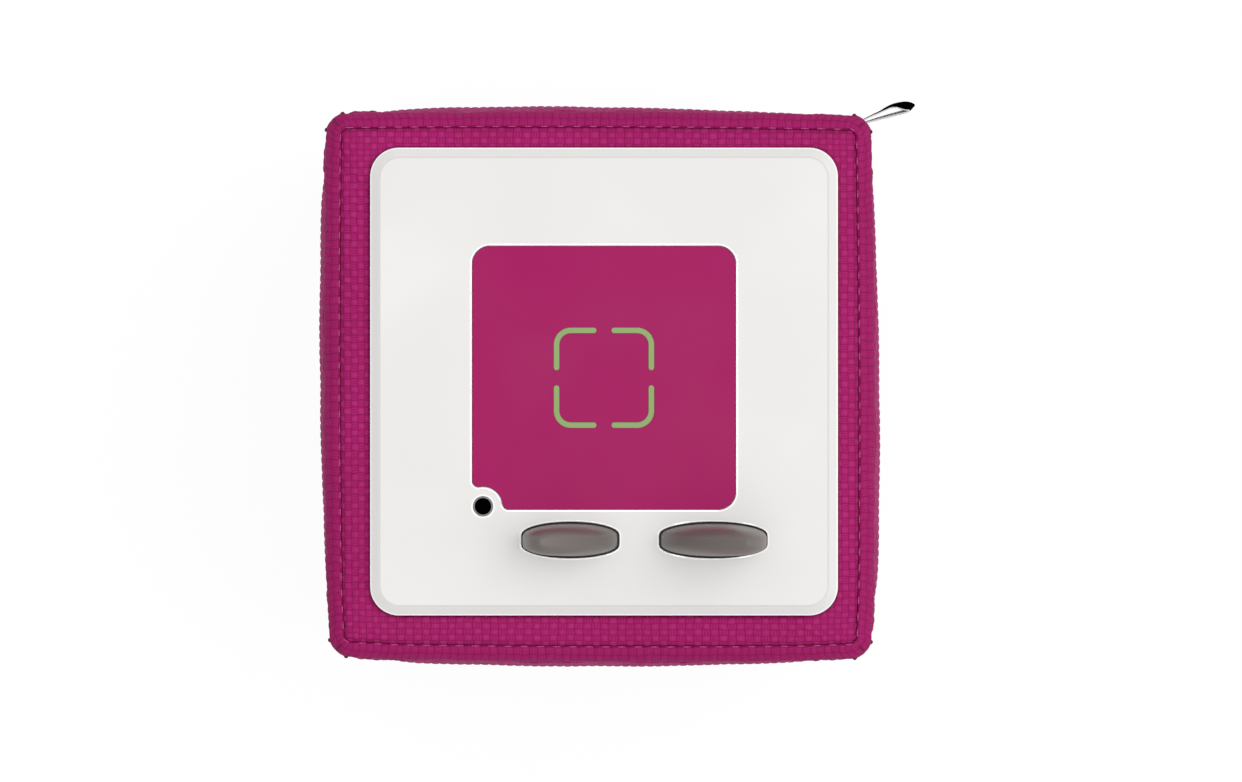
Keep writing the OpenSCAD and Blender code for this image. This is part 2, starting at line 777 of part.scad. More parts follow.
// The flat outline of an ear, drawn in by inset, standing in the XZ plane from z = low
module ear_blade(length, height, side, inset, low, thickness) {
    half_l = length / 2 - inset;
    top = height - inset * 1.25;
    up = [for (s = ear_steps) [side * ear_shift(s, half_l) + ear_half_l(s, half_l), s * top]];
    down = [for (k = [len(ear_steps) - 1:-1:0])
        let (s = ear_steps[k]) [side * ear_shift(s, half_l) - ear_half_l(s, half_l), s * top]];
    translate([0, 0, plate_top]) rotate([90, 0, 0]) linear_extrude(thickness, center = true)
        polygon(concat([[half_l, low - plate_top]], up, down, [[-half_l, low - plate_top]]));
}

// Width of the tab under a spine, and the window in the spine for the ear's board
function spine_w(length) = length * 0.6;
function window_w(length) = length * 0.42;
function window_h(height) = height * 0.5;
function window_x(length, side) = side * length * 0.07;

module ear_spine(length, height, side) {
    difference() {
        union() {
            ear_blade(length, height, side, skin_t + 0.3, flange_under, 2 * spine_half_t);
            translate([-spine_w(length) / 2, -spine_half_t, chassis_under])
                cube([spine_w(length), 2 * spine_half_t, flange_under - chassis_under + 0.5]);
        }
        translate([window_x(length, side) - window_w(length) / 2 - fit, -cut, plate_top + 1 - fit])
            cube([window_w(length) + 2 * fit, 2 * cut, window_h(height) + 2 * fit]);
    }
}

module ear_board(length, height, side) {
    translate([window_x(length, side) - window_w(length) / 2, -board_half_t, plate_top + 1])
        cube([window_w(length), 2 * board_half_t, window_h(height)]);
}

function switch_z(height) = plate_top + 1 + window_h(height) / 2;

// Places children on one face of the board, with their own +Z pointing out of it
module on_switch(length, height, side, face) {
    translate([window_x(length, side), 0, switch_z(height)])
        rotate([face > 0 ? -90 : 90, 0, 0]) children();
}

module ear_switches(length, height, side) {
    for (face = [-1, 1]) on_switch(length, height, side, face) difference() {
        translate([-switch_w / 2, -switch_w / 2, board_half_t])
            cube([switch_w, switch_w, switch_top - board_half_t]);
        translate([0, 0, switch_top - plunger_in - squeeze - 0.03])
            cylinder(r = plunger_r + slip, h = cut);
    }
}

module ear_plunger(length, height, side, face) {
    on_switch(length, height, side, face) translate([0, 0, switch_top - plunger_in])
        cylinder(r = plunger_r, h = plunger_top - switch_top + plunger_in);
}

// The stiff plate inside one half of an ear, which follows the skin outside and is flat inside
module ear_paddle(length, height, side, face) {
    inset = skin_t + 0.1;
    pocket = switch_w + 0.8;
    steps = [for (s = ear_steps) if (s < 0.95) s];
    difference() {
        loft([for (s = steps) ear_ring(s, length, height, inset, side)]);
        translate([-length, face > 0 ? -ear_t : -paddle_inner, plate_top - cut])
            cube([2 * length, ear_t + paddle_inner, height + 2 * cut]);
        on_switch(length, height, side, face)
            translate([-pocket / 2, -pocket / 2, 0]) cube([pocket, pocket, plunger_top + 0.01]);
    }
}

module at_small() { translate([-small_ear_x, -ear_y, 0]) children(); }
module at_big() { translate([big_ear_x, -ear_y, 0]) children(); }

module small_ear_skin() { color(ear_grey) at_small() ear_skin(small_ear_l, small_ear_h, -1); }
module small_ear_spine() { color("white") at_small() ear_spine(small_ear_l, small_ear_h, -1); }
module small_ear_board() { color("darkgreen") at_small() ear_board(small_ear_l, small_ear_h, -1); }
module small_ear_switches() { color("silver") at_small() ear_switches(small_ear_l, small_ear_h, -1); }
module small_ear_front_paddle() { color("white") at_small() ear_paddle(small_ear_l, small_ear_h, -1, -1); }
module small_ear_rear_paddle() { color("white") at_small() ear_paddle(small_ear_l, small_ear_h, -1, 1); }
module small_ear_front_plunger() { color("black") at_small() ear_plunger(small_ear_l, small_ear_h, -1, -1); }
module small_ear_rear_plunger() { color("black") at_small() ear_plunger(small_ear_l, small_ear_h, -1, 1); }
module big_ear_skin() { color(ear_grey) at_big() ear_skin(big_ear_l, big_ear_h, 1); }
module big_ear_spine() { color("white") at_big() ear_spine(big_ear_l, big_ear_h, 1); }
module big_ear_board() { color("darkgreen") at_big() ear_board(big_ear_l, big_ear_h, 1); }
module big_ear_switches() { color("silver") at_big() ear_switches(big_ear_l, big_ear_h, 1); }
module big_ear_front_paddle() { color("white") at_big() ear_paddle(big_ear_l, big_ear_h, 1, -1); }
module big_ear_rear_paddle() { color("white") at_big() ear_paddle(big_ear_l, big_ear_h, 1, 1); }
module big_ear_front_plunger() { color("black") at_big() ear_plunger(big_ear_l, big_ear_h, 1, -1); }
module big_ear_rear_plunger() { color("black") at_big() ear_plunger(big_ear_l, big_ear_h, 1, 1); }

// ---------- Inner case ----------

module at_speaker_screws() {
    for (x = [-1, 1], z = [-1, 1])
        translate([x * speaker_screw_at, 0, speaker_z + z * speaker_screw_at]) children();
}

module at_base_screws() {
    for (x = [-1, 1], y = [-1, 1]) translate([x * base_screw_at, y * base_screw_at, 0]) children();
}

module at_board_studs() {
    for (x = [-1, 1], z = [0, 1])
        translate([x * (main_w / 2 - 4), 0, main_z + 4 + z * (main_h - 8)]) children();
}

// Bars across the speaker's opening
module grille_bars() {
    for (k = [-4:4])
        translate([-grille_r, -case_half, speaker_z + k * grille_step - grille_bar / 2])
            cube([2 * grille_r, case_t, grille_bar]);
}

module inner_case() {
    color("dimgray") {
        difference() {
            union() {
                difference() {
                    translate([0, 0, case_under]) linear_extrude(case_top - case_under)
                        rounded_square(case_half, case_r);
                    translate([0, 0, floor_top]) linear_extrude(case_top)
                        rounded_square(inner_half, inner_r);
                    translate([0, 0, case_under - cut]) linear_extrude(floor_z - case_under + cut)
                        rounded_square(inner_half, inner_r);
                }
                // posts for the chassis screws, tied to the side walls
                translate([0, 0, case_top - 16]) at_case_posts() cylinder(r = 3, h = 16);
                for (x = [-1, 1], y = [-1, 1])
                    translate([x * (inner_half - 1.6) - 1.8, y * case_post_at - 1, case_top - 16])
                        cube([3.6, 2, 16]);
                // sockets for the base screws
                translate([0, 0, floor_z]) at_base_screws() cylinder(r = boss_r, h = 8);
                // studs for the main board
                at_board_studs() translate([0, inner_half + 0.5, 0]) rotate([90, 0, 0])
                    cylinder(r = 2.6, h = 3.45);
                // ribs that the battery pack lies between
                for (y = [cell_y[0] - cell_r - 2.4, cell_y[2] + cell_r + 0.9])
                    translate([-18, y, floor_top - 0.5]) cube([36, 1.5, 5]);
            }
            translate([0, -inner_half + cut, speaker_z]) rotate([90, 0, 0])
                cylinder(r = grille_r, h = case_t + 2 * cut);
            jack_way(jack_neck_r + 0.1, inner_half - cut, case_half + cut);
            translate([0, 0, case_top - 10]) at_case_posts() cylinder(r = screw_r + slip, h = 10 + cut);
            translate([0, 0, floor_z - cut]) at_base_screws() cylinder(r = screw_r + slip, h = 7 + cut);
            at_board_studs() translate([0, main_face + board_screw_l + 0.1, 0]) rotate([90, 0, 0])
                cylinder(r = screw_r + slip, h = board_screw_l);
            at_speaker_screws() translate([0, -inner_half + cut, 0]) rotate([90, 0, 0])
                cylinder(r = screw_r + slip, h = cut + 1.4);
            at_retainer_screws() translate([0, 0, floor_top + 1.65 - retainer_screw_l - 0.1])
                cylinder(r = screw_r + slip, h = retainer_screw_l);
            translate([lead_hole.x, lead_hole.y, floor_z - cut]) cylinder(r = 2.5, h = 2 * cut + 2);
        }
        intersection() {
            grille_bars();
            translate([0, -inner_half + cut, speaker_z]) rotate([90, 0, 0])
                cylinder(r = grille_r + 0.3, h = case_t + 2 * cut);
        }
    }
}

// ---------- Speaker ----------

// Places children behind the front wall, with their own +Z pointing to the rear
module from_speaker_face() {
    translate([0, speaker_face, speaker_z]) rotate([-90, 0, 0]) children();
}

module speaker_basket() {
    color("black") from_speaker_face() {
        difference() {
            union() {
                linear_extrude(speaker_flange_t) rounded_square(speaker_r, 6);
                translate([0, 0, speaker_flange_t])
                    cylinder(r1 = speaker_r - 1, r2 = magnet_r + 2, h = basket_depth);
            }
            translate([0, 0, -cut]) cylinder(r = cone_r + 3.4, h = speaker_flange_t + cut);
            translate([0, 0, speaker_flange_t - 0.01])
                cylinder(r1 = speaker_r - 2.6, r2 = magnet_r + 0.4, h = basket_depth - 1.6);
            cylinder(r = coil_r + 1.4, h = basket_depth * 2);
            for (a = [45:90:315]) rotate(a) translate([magnet_r + 3, -5, speaker_flange_t + 2])
                cube([speaker_r, 10, basket_depth - 5]);
            for (x = [-1, 1], y = [-1, 1]) translate([x * speaker_screw_at, y * speaker_screw_at, -cut])
                cylinder(r = screw_r + 0.2, h = speaker_flange_t + 2 * cut);
        }
    }
}

module speaker_magnet() {
    color("silver") from_speaker_face() translate([0, 0, speaker_flange_t + basket_depth]) {
        difference() {
            cylinder(r = magnet_r, h = magnet_t);
            translate([0, 0, -cut]) cylinder(r = coil_r + 0.6, h = magnet_t - 1.2 + cut);
        }
        translate([0, 0, 0]) cylinder(r = coil_r - 0.9, h = magnet_t - 1);
    }
}

module speaker_cone() {
    color("darkslategray") from_speaker_face() {
        translate([0, 0, cone_at]) rotate_extrude() polygon([
            [coil_r - 0.3, coil_end], [coil_r + 0.2, coil_end], [coil_r + 0.2, 9],
            [cone_r, 1.6], [cone_r, 1], [coil_r, 7.6], [coil_r * 0.6, 6], [0, 5.2],
            [0, 5.8], [coil_r * 0.6, 6.6], [coil_r - 0.3, 8]
        ]);
    }
}

module speaker_surround() {
    color("black") from_speaker_face() translate([0, 0, cone_at]) rotate_extrude()
        difference() {
            translate([cone_r + 1.75, 1.2]) circle(1.6);
            translate([cone_r + 1.75, 1.2]) circle(1.1);
            translate([cone_r - 2, 1.25]) square([8, 4]);
        }
}

module speaker_screws() {
    color("silver") at_speaker_screws() translate([0, -inner_half - 1.3, 0])
        rotate([-90, 0, 0]) screw_down(speaker_flange_t + 1.5);
}

// ---------- Main board ----------

module main_board() {
    color("darkgreen") difference() {
        translate([-main_w / 2, main_face, main_z]) cube([main_w, main_t, main_h]);
        at_board_studs() translate([0, main_face - cut, 0]) rotate([-90, 0, 0])
            cylinder(r = 1.2, h = main_t + 2 * cut);
    }
}

// Puts a block of this size on the main board's face, at a place across and up from its lower left corner
module on_main_board(at, size) {
    translate([at.x - main_w / 2, main_face - size.y, main_z + at.y]) cube(size);
}

// The processor, the radio module with its can, and the charging chip
module board_chips() {
    color("black") {
        on_main_board(processor_at, processor);
        on_main_board(radio_at, radio);
        on_main_board(charger_at, charger);
    }
}

// The memory card's slot, and the sockets that the leads plug into from above
module board_sockets() {
    color("silver") difference() {
        on_main_board(slot_at, slot);
        translate([0, -0.7, 0]) on_main_board(card_at - [card_room, card_room],
            [card.x + 2 * card_room, 0.9, card.z + cut]);
    }
    color("ivory") for (x = socket_x) translate([x, main_face, socket_z]) difference() {
        translate([-socket_w / 2, -socket_d, 0]) cube([socket_w, socket_d, socket_h]);
        translate([-socket_w / 2 + 1, -socket_d + 0.5, 1]) cube([socket_w - 2, socket_d - 1.3, socket_h]);
    }
}

module memory_card() {
    color("black") translate([0, -0.8, 0]) on_main_board(card_at, card);
}

module at_retainer_screws() {
    for (y = [retainer_leg_y[0] - 3, retainer_leg_y[1] + 4.8]) translate([0, y, 0]) children();
}

// The screws of the main board and of the battery retainer
module inner_screws() {
    color("silver") {
        at_board_studs() translate([0, main_face + board_screw_l, 0]) rotate([90, 0, 0])
            screw_down(board_screw_l);
        at_retainer_screws() translate([0, 0, floor_top + 1.65 - retainer_screw_l])
            screw_down(retainer_screw_l);
    }
}

// Points on a smooth curve through a lead's own points
function smooth(points, steps) =
    let (n = len(points))
    [for (i = [0:n - 2], k = [0:steps - (i == n - 2 ? 0 : 1)])
        let (
            t = k / steps,
            a = points[max(i - 1, 0)],
            b = points[i],
            c = points[i + 1],
            d = points[min(i + 2, n - 1)]
        )
        b + ((c - a) * t + (2 * a - 5 * b + 4 * c - d) * t * t
            + (3 * b - a - 3 * c + d) * t * t * t) / 2];

function unit(v) = v / norm(v);

// A round lead along a route, whose rings don't twist
module lead(points) {
    route = smooth(points, 3);
    last = len(route) - 1;
    way = [for (k = [0:last]) unit(route[min(k + 1, last)] - route[max(k - 1, 0)])];
    start = unit(cross(way[0], abs(way[0].z) > 0.9 ? [1, 0, 0] : [0, 0, 1]));
    across = [for (k = 0, u = start; k <= last; k = k + 1,
        u = k <= last ? unit(u - (u * way[k]) * way[k]) : u) u];
    loft([for (k = [0:last]) [for (j = [0:lead_sides - 1])
        let (a = 360 * j / lead_sides, v = cross(way[k], across[k]))
        route[k] + lead_r * (cos(a) * across[k] + sin(a) * v)]]);
}

// The end of a lead in one of the main board's sockets
function plugged(k) = [
    [socket_x[k], main_face - 2.4, socket_z + socket_h + 6],
    [socket_x[k], main_face - 2.4, socket_z + 1.4]
];

// The leads of the charging board, battery, figure reader, speaker and both ears
module lead_set() {
    color("firebrick") {
        lead(concat([[-16, 6, charge_board_under + 2.1], [-21, 6, charge_board_under + 2.1],
            [lead_hole.x, lead_hole.y, floor_z], [lead_hole.x, lead_hole.y, floor_top + 4],
            [-28, 14, main_z - 16], [-12, 27, main_z + 2]], plugged(0)));
        lead(concat([[cell_l / 2 + 0.3, pack_y, cell_z], [cell_l / 2 + 4, pack_y, cell_z + 1],
            [30, 10, main_z - 18], [18, 24, main_z]], plugged(1)));
        lead(concat([[2, 20, reader_top - reader_t - 1], [2, 26, chassis_top + 2], [2, 32, chassis_top - 1],
            [4, 32, chassis_top - 13], [12, 28, chassis_top - 31]], plugged(2)));
        lead(concat([[17.5, -31, speaker_z - 9], [22, -12, speaker_z - 12], [25, 12, main_z + 8],
            [25, 28, main_z + 16]], plugged(3)));
        for (ear = [[-small_ear_x, -8.5], [big_ear_x, 18]])
            lead([[ear.x, -ear_y, chassis_under - 0.2], [ear.x, -ear_y + 2, chassis_under - 3],
                [ear.x, -10, chassis_under - 4], [ear.y, 20, chassis_under - 5],
                [ear.y, main_face - 5, main_z + main_h - 1],
                [ear.y, main_face - 0.6, main_z + main_h - 4.4]]);
    }
}

// ---------- Battery ----------

module battery_cells() {
    for (y = cell_y) translate([-cell_l / 2, y, cell_z]) rotate([0, 90, 0]) {
        color("green") cylinder(r = cell_r, h = cell_l - 1);
        color("silver") cylinder(r = 2.6, h = cell_l);
    }
}

// The outline round all three cells, grown by g
module pack_outline(g) {
    hull_h = cell_r + g;
    for (y = [cell_y[0], cell_y[2]]) translate([y, 0]) circle(hull_h);
    translate([cell_y[0], -hull_h]) square([cell_y[2] - cell_y[0], 2 * hull_h]);
}

module battery_sleeve() {
    color("yellowgreen") translate([-cell_l / 2 + 1, 0, cell_z]) rotate([90, 0, 90])
        linear_extrude(cell_l - 3) difference() {
            pack_outline(0.1 + sleeve_t);
            pack_outline(0.1);
        }
}

module battery_retainer() {
    leg_y = retainer_leg_y;
    roof = cell_z + cell_r + 0.1 + sleeve_t + 0.15;
    color("dimgray") difference() {
        translate([-retainer_w / 2, 0, 0]) {
            translate([0, leg_y[0], roof]) cube([retainer_w, leg_y[1] - leg_y[0] + 1.8, 1.8]);
            for (y = leg_y) translate([0, y, floor_top + 0.05]) cube([retainer_w, 1.8, roof - floor_top]);
            for (y = [leg_y[0] - 6, leg_y[1] + 1.7]) translate([0, y, floor_top + 0.05])
                cube([retainer_w, 6.1, retainer_t]);
        }
        at_retainer_screws() translate([0, 0, floor_top - cut])
            cylinder(r = screw_r + 0.2, h = 2 * cut + retainer_t);
    }
}

// ---------- Headphone socket ----------

module headphone_jack() {
    color("black") difference() {
        union() {
            translate([jack_x - jack_body_w / 2, inner_half - 0.1 - jack_l, jack_z - jack_body_w / 2])
                cube([jack_body_w, jack_l, jack_body_w]);
            jack_way(jack_neck_r, inner_half - 0.2, jack_mouth);
            // the stand that carries the socket on the case's floor
            translate([jack_x - 3, inner_half - 6.5, floor_top + 0.05])
                cube([6, 5.5, jack_z - floor_top - jack_body_w / 2]);
        }
        jack_way(jack_bore_r, jack_mouth - jack_l, jack_mouth + cut);
    }
}

// The tube through the foam, with a flange against the case
module jack_collar() {
    color(shell_white) difference() {
        union() {
            jack_way(collar_flange_r, case_half + 0.05, case_half + 0.05 + collar_flange_t);
            jack_way(collar_r, case_half + 0.05 + collar_flange_t - 0.01, collar_end);
        }
        jack_way(tunnel_r, case_half - cut);
    }
}

// ---------- Base ----------

module base_plate() {
    color(shell_white) difference() {
        union() {
            hull() {
                translate([0, 0, base_under + 0.6]) linear_extrude(body_lift - base_under - 0.8)
                    rounded_square(base_half, base_r);
                translate([0, 0, base_under]) linear_extrude(1)
                    rounded_square(base_half - 0.6, base_r - 0.6);
            }
            translate([0, 0, base_under + 0.5]) linear_extrude(base_t - 0.5)
                rounded_square(base_body_half, inner_r);
            translate([0, 0, base_top - 0.01]) at_base_screws()
                cylinder(r = boss_r, h = floor_z - base_top - 0.05);
        }
        translate([0, 0, -cut]) linear_extrude(base_under + cut + foot_bed) foot_outline(fit);
        translate([0, 0, -cut]) cylinder(r = dock_r, h = base_under + cut + dock_depth);
        for (x = [-1, 1]) translate([x * contact_x, 0, -cut])
            cylinder(r = contact_r + slip, h = base_top + 2 * cut);
        at_base_screws() translate([0, 0, -cut]) {
            cylinder(r = screw_r + 0.2, h = floor_z + 2 * cut);
            cylinder(r = screw_head_r + 0.3, h = base_under + cut + screw_head_h + 0.2);
        }
    }
}

module foot_outline(grow = 0) {
    difference() {
        rounded_square(foot_half + foot_w / 2 + grow, foot_r + foot_w / 2 + grow);
        rounded_square(foot_half - foot_w / 2 - grow, foot_r - foot_w / 2 - grow);
    }
}

module foot_ring() {
    color("gray") linear_extrude(foot_proud + foot_bed) foot_outline();
}

module charge_contacts() {
    color("gold") for (x = [-1, 1]) translate([x * contact_x, 0, base_under + dock_depth + 0.1]) {
        cylinder(r = contact_r, h = 1.2);
        cylinder(r = 1.2, h = charge_board_under - base_under - dock_depth - 0.1);
    }
}

module charge_board() {
    color("darkgreen") translate([0, 0, charge_board_under]) linear_extrude(1.2)
        square([40, 22], center = true);
}

module base_screws() {
    color("silver") at_base_screws() translate([0, 0, base_under + screw_head_h + 0.2])
        rotate([180, 0, 0]) translate([0, 0, -11]) screw_down(11);
}

cover_top();
cover_front();
cover_rear();
cover_left();
cover_right();
cover_bottom();
cover_top_binding();
cover_bottom_binding();
cover_corner_bindings();
label_loop();
foam_block();
top_plate();
figure_pad();
placement_marks();
led_bezel();
light_pipe();
indicator_led();
top_chassis();
nfc_board();
nfc_coil();
holding_magnet();
chassis_screws();
small_ear_skin();
small_ear_spine();
small_ear_board();
small_ear_switches();
small_ear_front_paddle();
small_ear_rear_paddle();
small_ear_front_plunger();
small_ear_rear_plunger();
big_ear_skin();
big_ear_spine();
big_ear_board();
big_ear_switches();
big_ear_front_paddle();
big_ear_rear_paddle();
big_ear_front_plunger();
big_ear_rear_plunger();
inner_case();
speaker_basket();
speaker_magnet();
speaker_cone();
speaker_surround();
speaker_screws();
main_board();
board_chips();
board_sockets();
memory_card();
inner_screws();
lead_set();
battery_cells();
battery_sleeve();
battery_retainer();
headphone_jack();
jack_collar();
base_plate();
foot_ring();
charge_contacts();
charge_board();
base_screws();
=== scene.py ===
"""Looks of an audio story player: a woven cube cover, a white top plate with two soft ears, and the stage."""

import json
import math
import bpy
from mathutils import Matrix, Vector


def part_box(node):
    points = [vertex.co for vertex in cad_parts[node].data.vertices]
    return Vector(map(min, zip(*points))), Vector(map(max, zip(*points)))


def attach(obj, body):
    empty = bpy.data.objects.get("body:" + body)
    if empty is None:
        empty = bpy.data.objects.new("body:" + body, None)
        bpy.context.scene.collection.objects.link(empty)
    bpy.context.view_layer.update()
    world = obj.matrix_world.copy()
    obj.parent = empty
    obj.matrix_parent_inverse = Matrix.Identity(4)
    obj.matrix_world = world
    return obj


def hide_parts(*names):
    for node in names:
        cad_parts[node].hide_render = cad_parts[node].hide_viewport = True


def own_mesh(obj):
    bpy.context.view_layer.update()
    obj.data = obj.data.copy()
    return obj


bl_info = {
    "name": "Audio Story Player",
    "version": (1, 0, 0),
    "blender": (4, 5, 0),
    "location": "3D Viewport > Sidebar > Story Player",
    "description": "Builds the cover, shell, ears and stage of an audio story player round its packed model",
    "category": "Add Mesh",
}

import bmesh
import bpy
import numpy as np
from bpy.props import FloatProperty, FloatVectorProperty, IntProperty, PointerProperty
from mathutils import Matrix, Vector

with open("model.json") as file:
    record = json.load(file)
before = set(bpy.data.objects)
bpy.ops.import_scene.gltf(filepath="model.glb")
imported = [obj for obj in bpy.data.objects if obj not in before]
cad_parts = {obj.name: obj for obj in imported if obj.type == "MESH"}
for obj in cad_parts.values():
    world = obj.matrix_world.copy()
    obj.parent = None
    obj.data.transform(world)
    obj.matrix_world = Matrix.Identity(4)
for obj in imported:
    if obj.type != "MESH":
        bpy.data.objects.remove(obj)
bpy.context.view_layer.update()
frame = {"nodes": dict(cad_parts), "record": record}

MM = 0.001
SIDE_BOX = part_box("cover_right")
PLATE_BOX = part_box("top_plate")
MID_Z = (SIDE_BOX[0].z + SIDE_BOX[1].z) / 2
WELD = 2e-6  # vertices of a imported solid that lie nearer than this, in metres, are one
FLAT = math.radians(0.4)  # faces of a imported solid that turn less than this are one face
SHARP = math.radians(35)  # edges of a moulding that turn more than this are rounded
CELL_STEPS = (0.0, 0.2, 0.5, 0.8)  # where the vertices of one woven block lie across it
CORNER_SHARE = 0.06  # of each quarter of a square ring, its rounded corner


def srgb(red, green, blue):
    """A scene-linear colour from 8-bit sRGB values."""
    return tuple(
        c / 12.92 if c <= 0.04045 else ((c + 0.055) / 1.055) ** 2.4
        for c in (red / 255, green / 255, blue / 255)
    )


def length(name, description, millimetres):
    return FloatProperty(
        name=name, description=description, default=millimetres * MM,
        subtype="DISTANCE", unit="LENGTH", precision=5)


def colour(name, description, red, green, blue):
    return FloatVectorProperty(
        name=name, description=description, default=srgb(red, green, blue),
        subtype="COLOR", size=3, min=0, max=1)


# ---------- Settings ----------


class CoverSettings(bpy.types.PropertyGroup):
    """The sewn cover"""

    body_half: length("Half Width", "From the middle to the outer seam at a corner", 57.6)
    seam_half: length("Inner Seam", "From the middle to the seam inside a top strip", 54.3)
    edge_bow: length("Edge Bow", "How far each edge bows out in the middle", 0.65)
    crown: length("Side Crown", "How far the foam lets each side swell out", 1.6)
    bulge: length("Side Bulge", "How much farther a side may swell out in the middle", 0.6)
    fullness: FloatProperty(
        name="Fullness", description="How full a side stays towards its seams", default=12, min=2)
    seam_dip: length("Seam Dip", "How deep a panel's edge sinks at its seam", 0.7)
    thickness: length("Fabric Thickness", "Thickness of the fabric with its lining", 1.2)
    shift_x: length("Shift Across", "How far the cover sits to the right of the shell", -0.98)
    shift_y: length("Shift Back", "How far the cover sits behind the middle of the shell", -1.08)
    skew: FloatProperty(
        name="Skew", description="How far the sewn cube leans into a diamond", default=-0.0036)
    corner_pull: length("Corner Pull", "How far the sewing draws in the two front corners", 0.35)
    block_w: length("Block Width", "Width of one woven block on the sides", 1.78)
    block_h: length("Block Height", "Height of one woven block on the sides", 1.52)
    weave_depth: length("Weave Depth", "How far a woven block stands out", 0.2)
    pucker: length("Pucker", "Depth of the small folds along a seam", 0.26)
    stitch_pitch: length("Stitch Pitch", "From one stitch to the next", 3.45)
    stitch_length: length("Stitch Length", "Length of the thread that shows", 1.8)
    thread_radius: length("Thread Radius", "Half the thickness of the sewing thread", 0.17)
    fabric_colour: colour("Fabric", "Colour of the woven panels", 177, 28, 113)
    strip_colour: colour("Strips", "Colour of the sewn strips", 170, 25, 107)
    # The thread colour is paler than the fabric as a painted highlight, and the seam thread colour darker as
    # painted shade.
    thread_highlight_colour: colour("Thread", "Colour of the sewing thread", 206, 80, 150)
    seam_thread_shade_colour: colour("Seam Thread Shade", "Colour of the thread in the outer seams", 122, 14, 72)
    foam_colour: colour("Foam", "Colour of the foam block", 66, 66, 70)


class LabelSettings(bpy.types.PropertyGroup):
    """The ribbon loop at the rear right corner"""

    long: length("Length", "Length of the ribbon before it is folded", 23.6)
    height: length("Height", "Width of the ribbon, which stands on edge", 12)
    thickness: length("Thickness", "Thickness of the ribbon", 0.26)
    outside: colour("Outside", "Colour of the ribbon's outer face", 6, 5, 6)
    inside: colour("Inside", "Colour of the ribbon's inner face", 246, 246, 246)


class ShellSettings(bpy.types.PropertyGroup):
    """The moulded plate, pad and base"""

    edge: length("Edge Band", "Width of the polished band along the edges of the plate", 0.32)
    corner: length("Plate Corner", "Corner radius of the white plate", 6.1)
    solid_corner: length("Solid's Corner", "Corner radius of the plate's solid, before it is drawn out", 7.2)
    round: length("Edge Rounding", "Radius on the edges of the mouldings", 0.12)
    white: colour("White", "Colour of the white mouldings", 232, 230, 228)
    # The edge colour is brighter than the white as a painted highlight on the band of polish.
    polish_and_highlight: colour("White Edges", "Colour of the polished edges of the white mouldings", 253, 252, 252)
    # The crease colour is darker than the white as painted shade.
    crease_shade: colour("White Crease Shade", "Colour of the soft crease inside the plate's rim", 220, 217, 214)
    pink: colour("Pad", "Colour of the figure pad", 169, 9, 96)
    green: colour("Marks", "Colour of the dashed square", 134, 165, 92)
    grey: colour("Lamp Ring", "Colour of the ring round the lamp", 118, 118, 120)
    window: colour("Lamp Window", "Colour of the smoked window", 3, 2, 3)


class EarSettings(bpy.types.PropertyGroup):
    """The two squeezable ears"""

    small_length: length("Small Ear", "Length of the small ear at the plate", 19.9)
    big_length: length("Big Ear", "Length of the big ear at the plate", 22.1)
    thickness: length("Thickness", "Thickness of both ears", 6.9)
    wall: length("Wall", "Thickness of the silicone skin", 1.1)
    flange: length("Flange", "How far the hidden flange reaches", 1.6)
    lean: FloatProperty(
        name="Lean", description="How far an ear leans, as a share of its length", default=0.3)
    points: IntProperty(
        name="Points", description="Points round one ear", default=72, min=24, max=160)
    silicone: colour("Silicone", "Colour of the ears", 120, 113, 109)


class InsideSettings(bpy.types.PropertyGroup):
    """Colours of the parts inside the case"""

    dark_plastic: colour("Case", "Colour of the inner case", 43, 44, 46)
    black_plastic: colour("Black Plastic", "Colour of the small black parts", 18, 18, 19)
    board: colour("Circuit Board", "Colour of the solder resist", 12, 62, 34)
    lead: colour("Leads", "Colour of the leads' sheaths", 128, 16, 16)
    sleeve: colour("Sleeve", "Colour of the battery's shrink film", 92, 154, 78)
    rubber: colour("Foot Rubber", "Colour of the foot ring", 108, 108, 109)


class StageSettings(bpy.types.PropertyGroup):
    """Camera, lamps and floor"""

    camera_height: length("Camera Height", "Height of the camera above the floor", 1270)
    camera_x: length("Camera Right", "How far right of the middle the camera hangs", 3.6)
    camera_y: length("Camera Back", "How far behind the middle the camera hangs", -2.0)
    focal_length: FloatProperty(
        name="Focal Length", description="Focal length of the lens in mm", default=157.6)
    key_strength: FloatProperty(name="Key Light", description="Strength of the broad lamp", default=1.05)
    top_strength: FloatProperty(name="Top Light", description="Strength of the lamp overhead", default=0.5)
    key_spread: FloatProperty(
        name="Key Spread", description="How wide the broad lamp looks", default=math.radians(55),
        subtype="ANGLE")
    sky_low: FloatProperty(name="Low Sky", description="Light from the horizon", default=0.15)
    sky_high: FloatProperty(name="High Sky", description="Light from overhead", default=0.75)
    floor: colour("Floor", "Colour of the floor", 240, 240, 240)


# ---------- Meshes ----------


def smoothstep(x):
    x = np.clip(x, 0, 1)
    return x * x * (3 - 2 * x)


def through(knots, at):
    """Smooth curves through rows of (place, value, value, ...), read at each place in at."""
    table = np.array(knots, float)
    places, values = table[:, 0], table[:, 1:]
    slopes = np.gradient(values, places, axis=0)
    k = np.clip(np.searchsorted(places, at, side="right") - 1, 0, len(places) - 2)
    span = (places[k + 1] - places[k])[..., None]
    t = (at[..., None] - places[k][..., None]) / span
    t2, t3 = t * t, t * t * t
    return (
        (2 * t3 - 3 * t2 + 1) * values[k] + (t3 - 2 * t2 + t) * span * slopes[k]
        + (3 * t2 - 2 * t3) * values[k + 1] + (t3 - t2) * span * slopes[k + 1])


def normals_of(points):
    """The unit normal at each point of a grid of points."""
    across = np.gradient(points, axis=0)
    along = np.gradient(points, axis=1)
    normal = np.cross(across, along)
    return normal / np.maximum(np.linalg.norm(normal, axis=-1, keepdims=True), 1e-12)


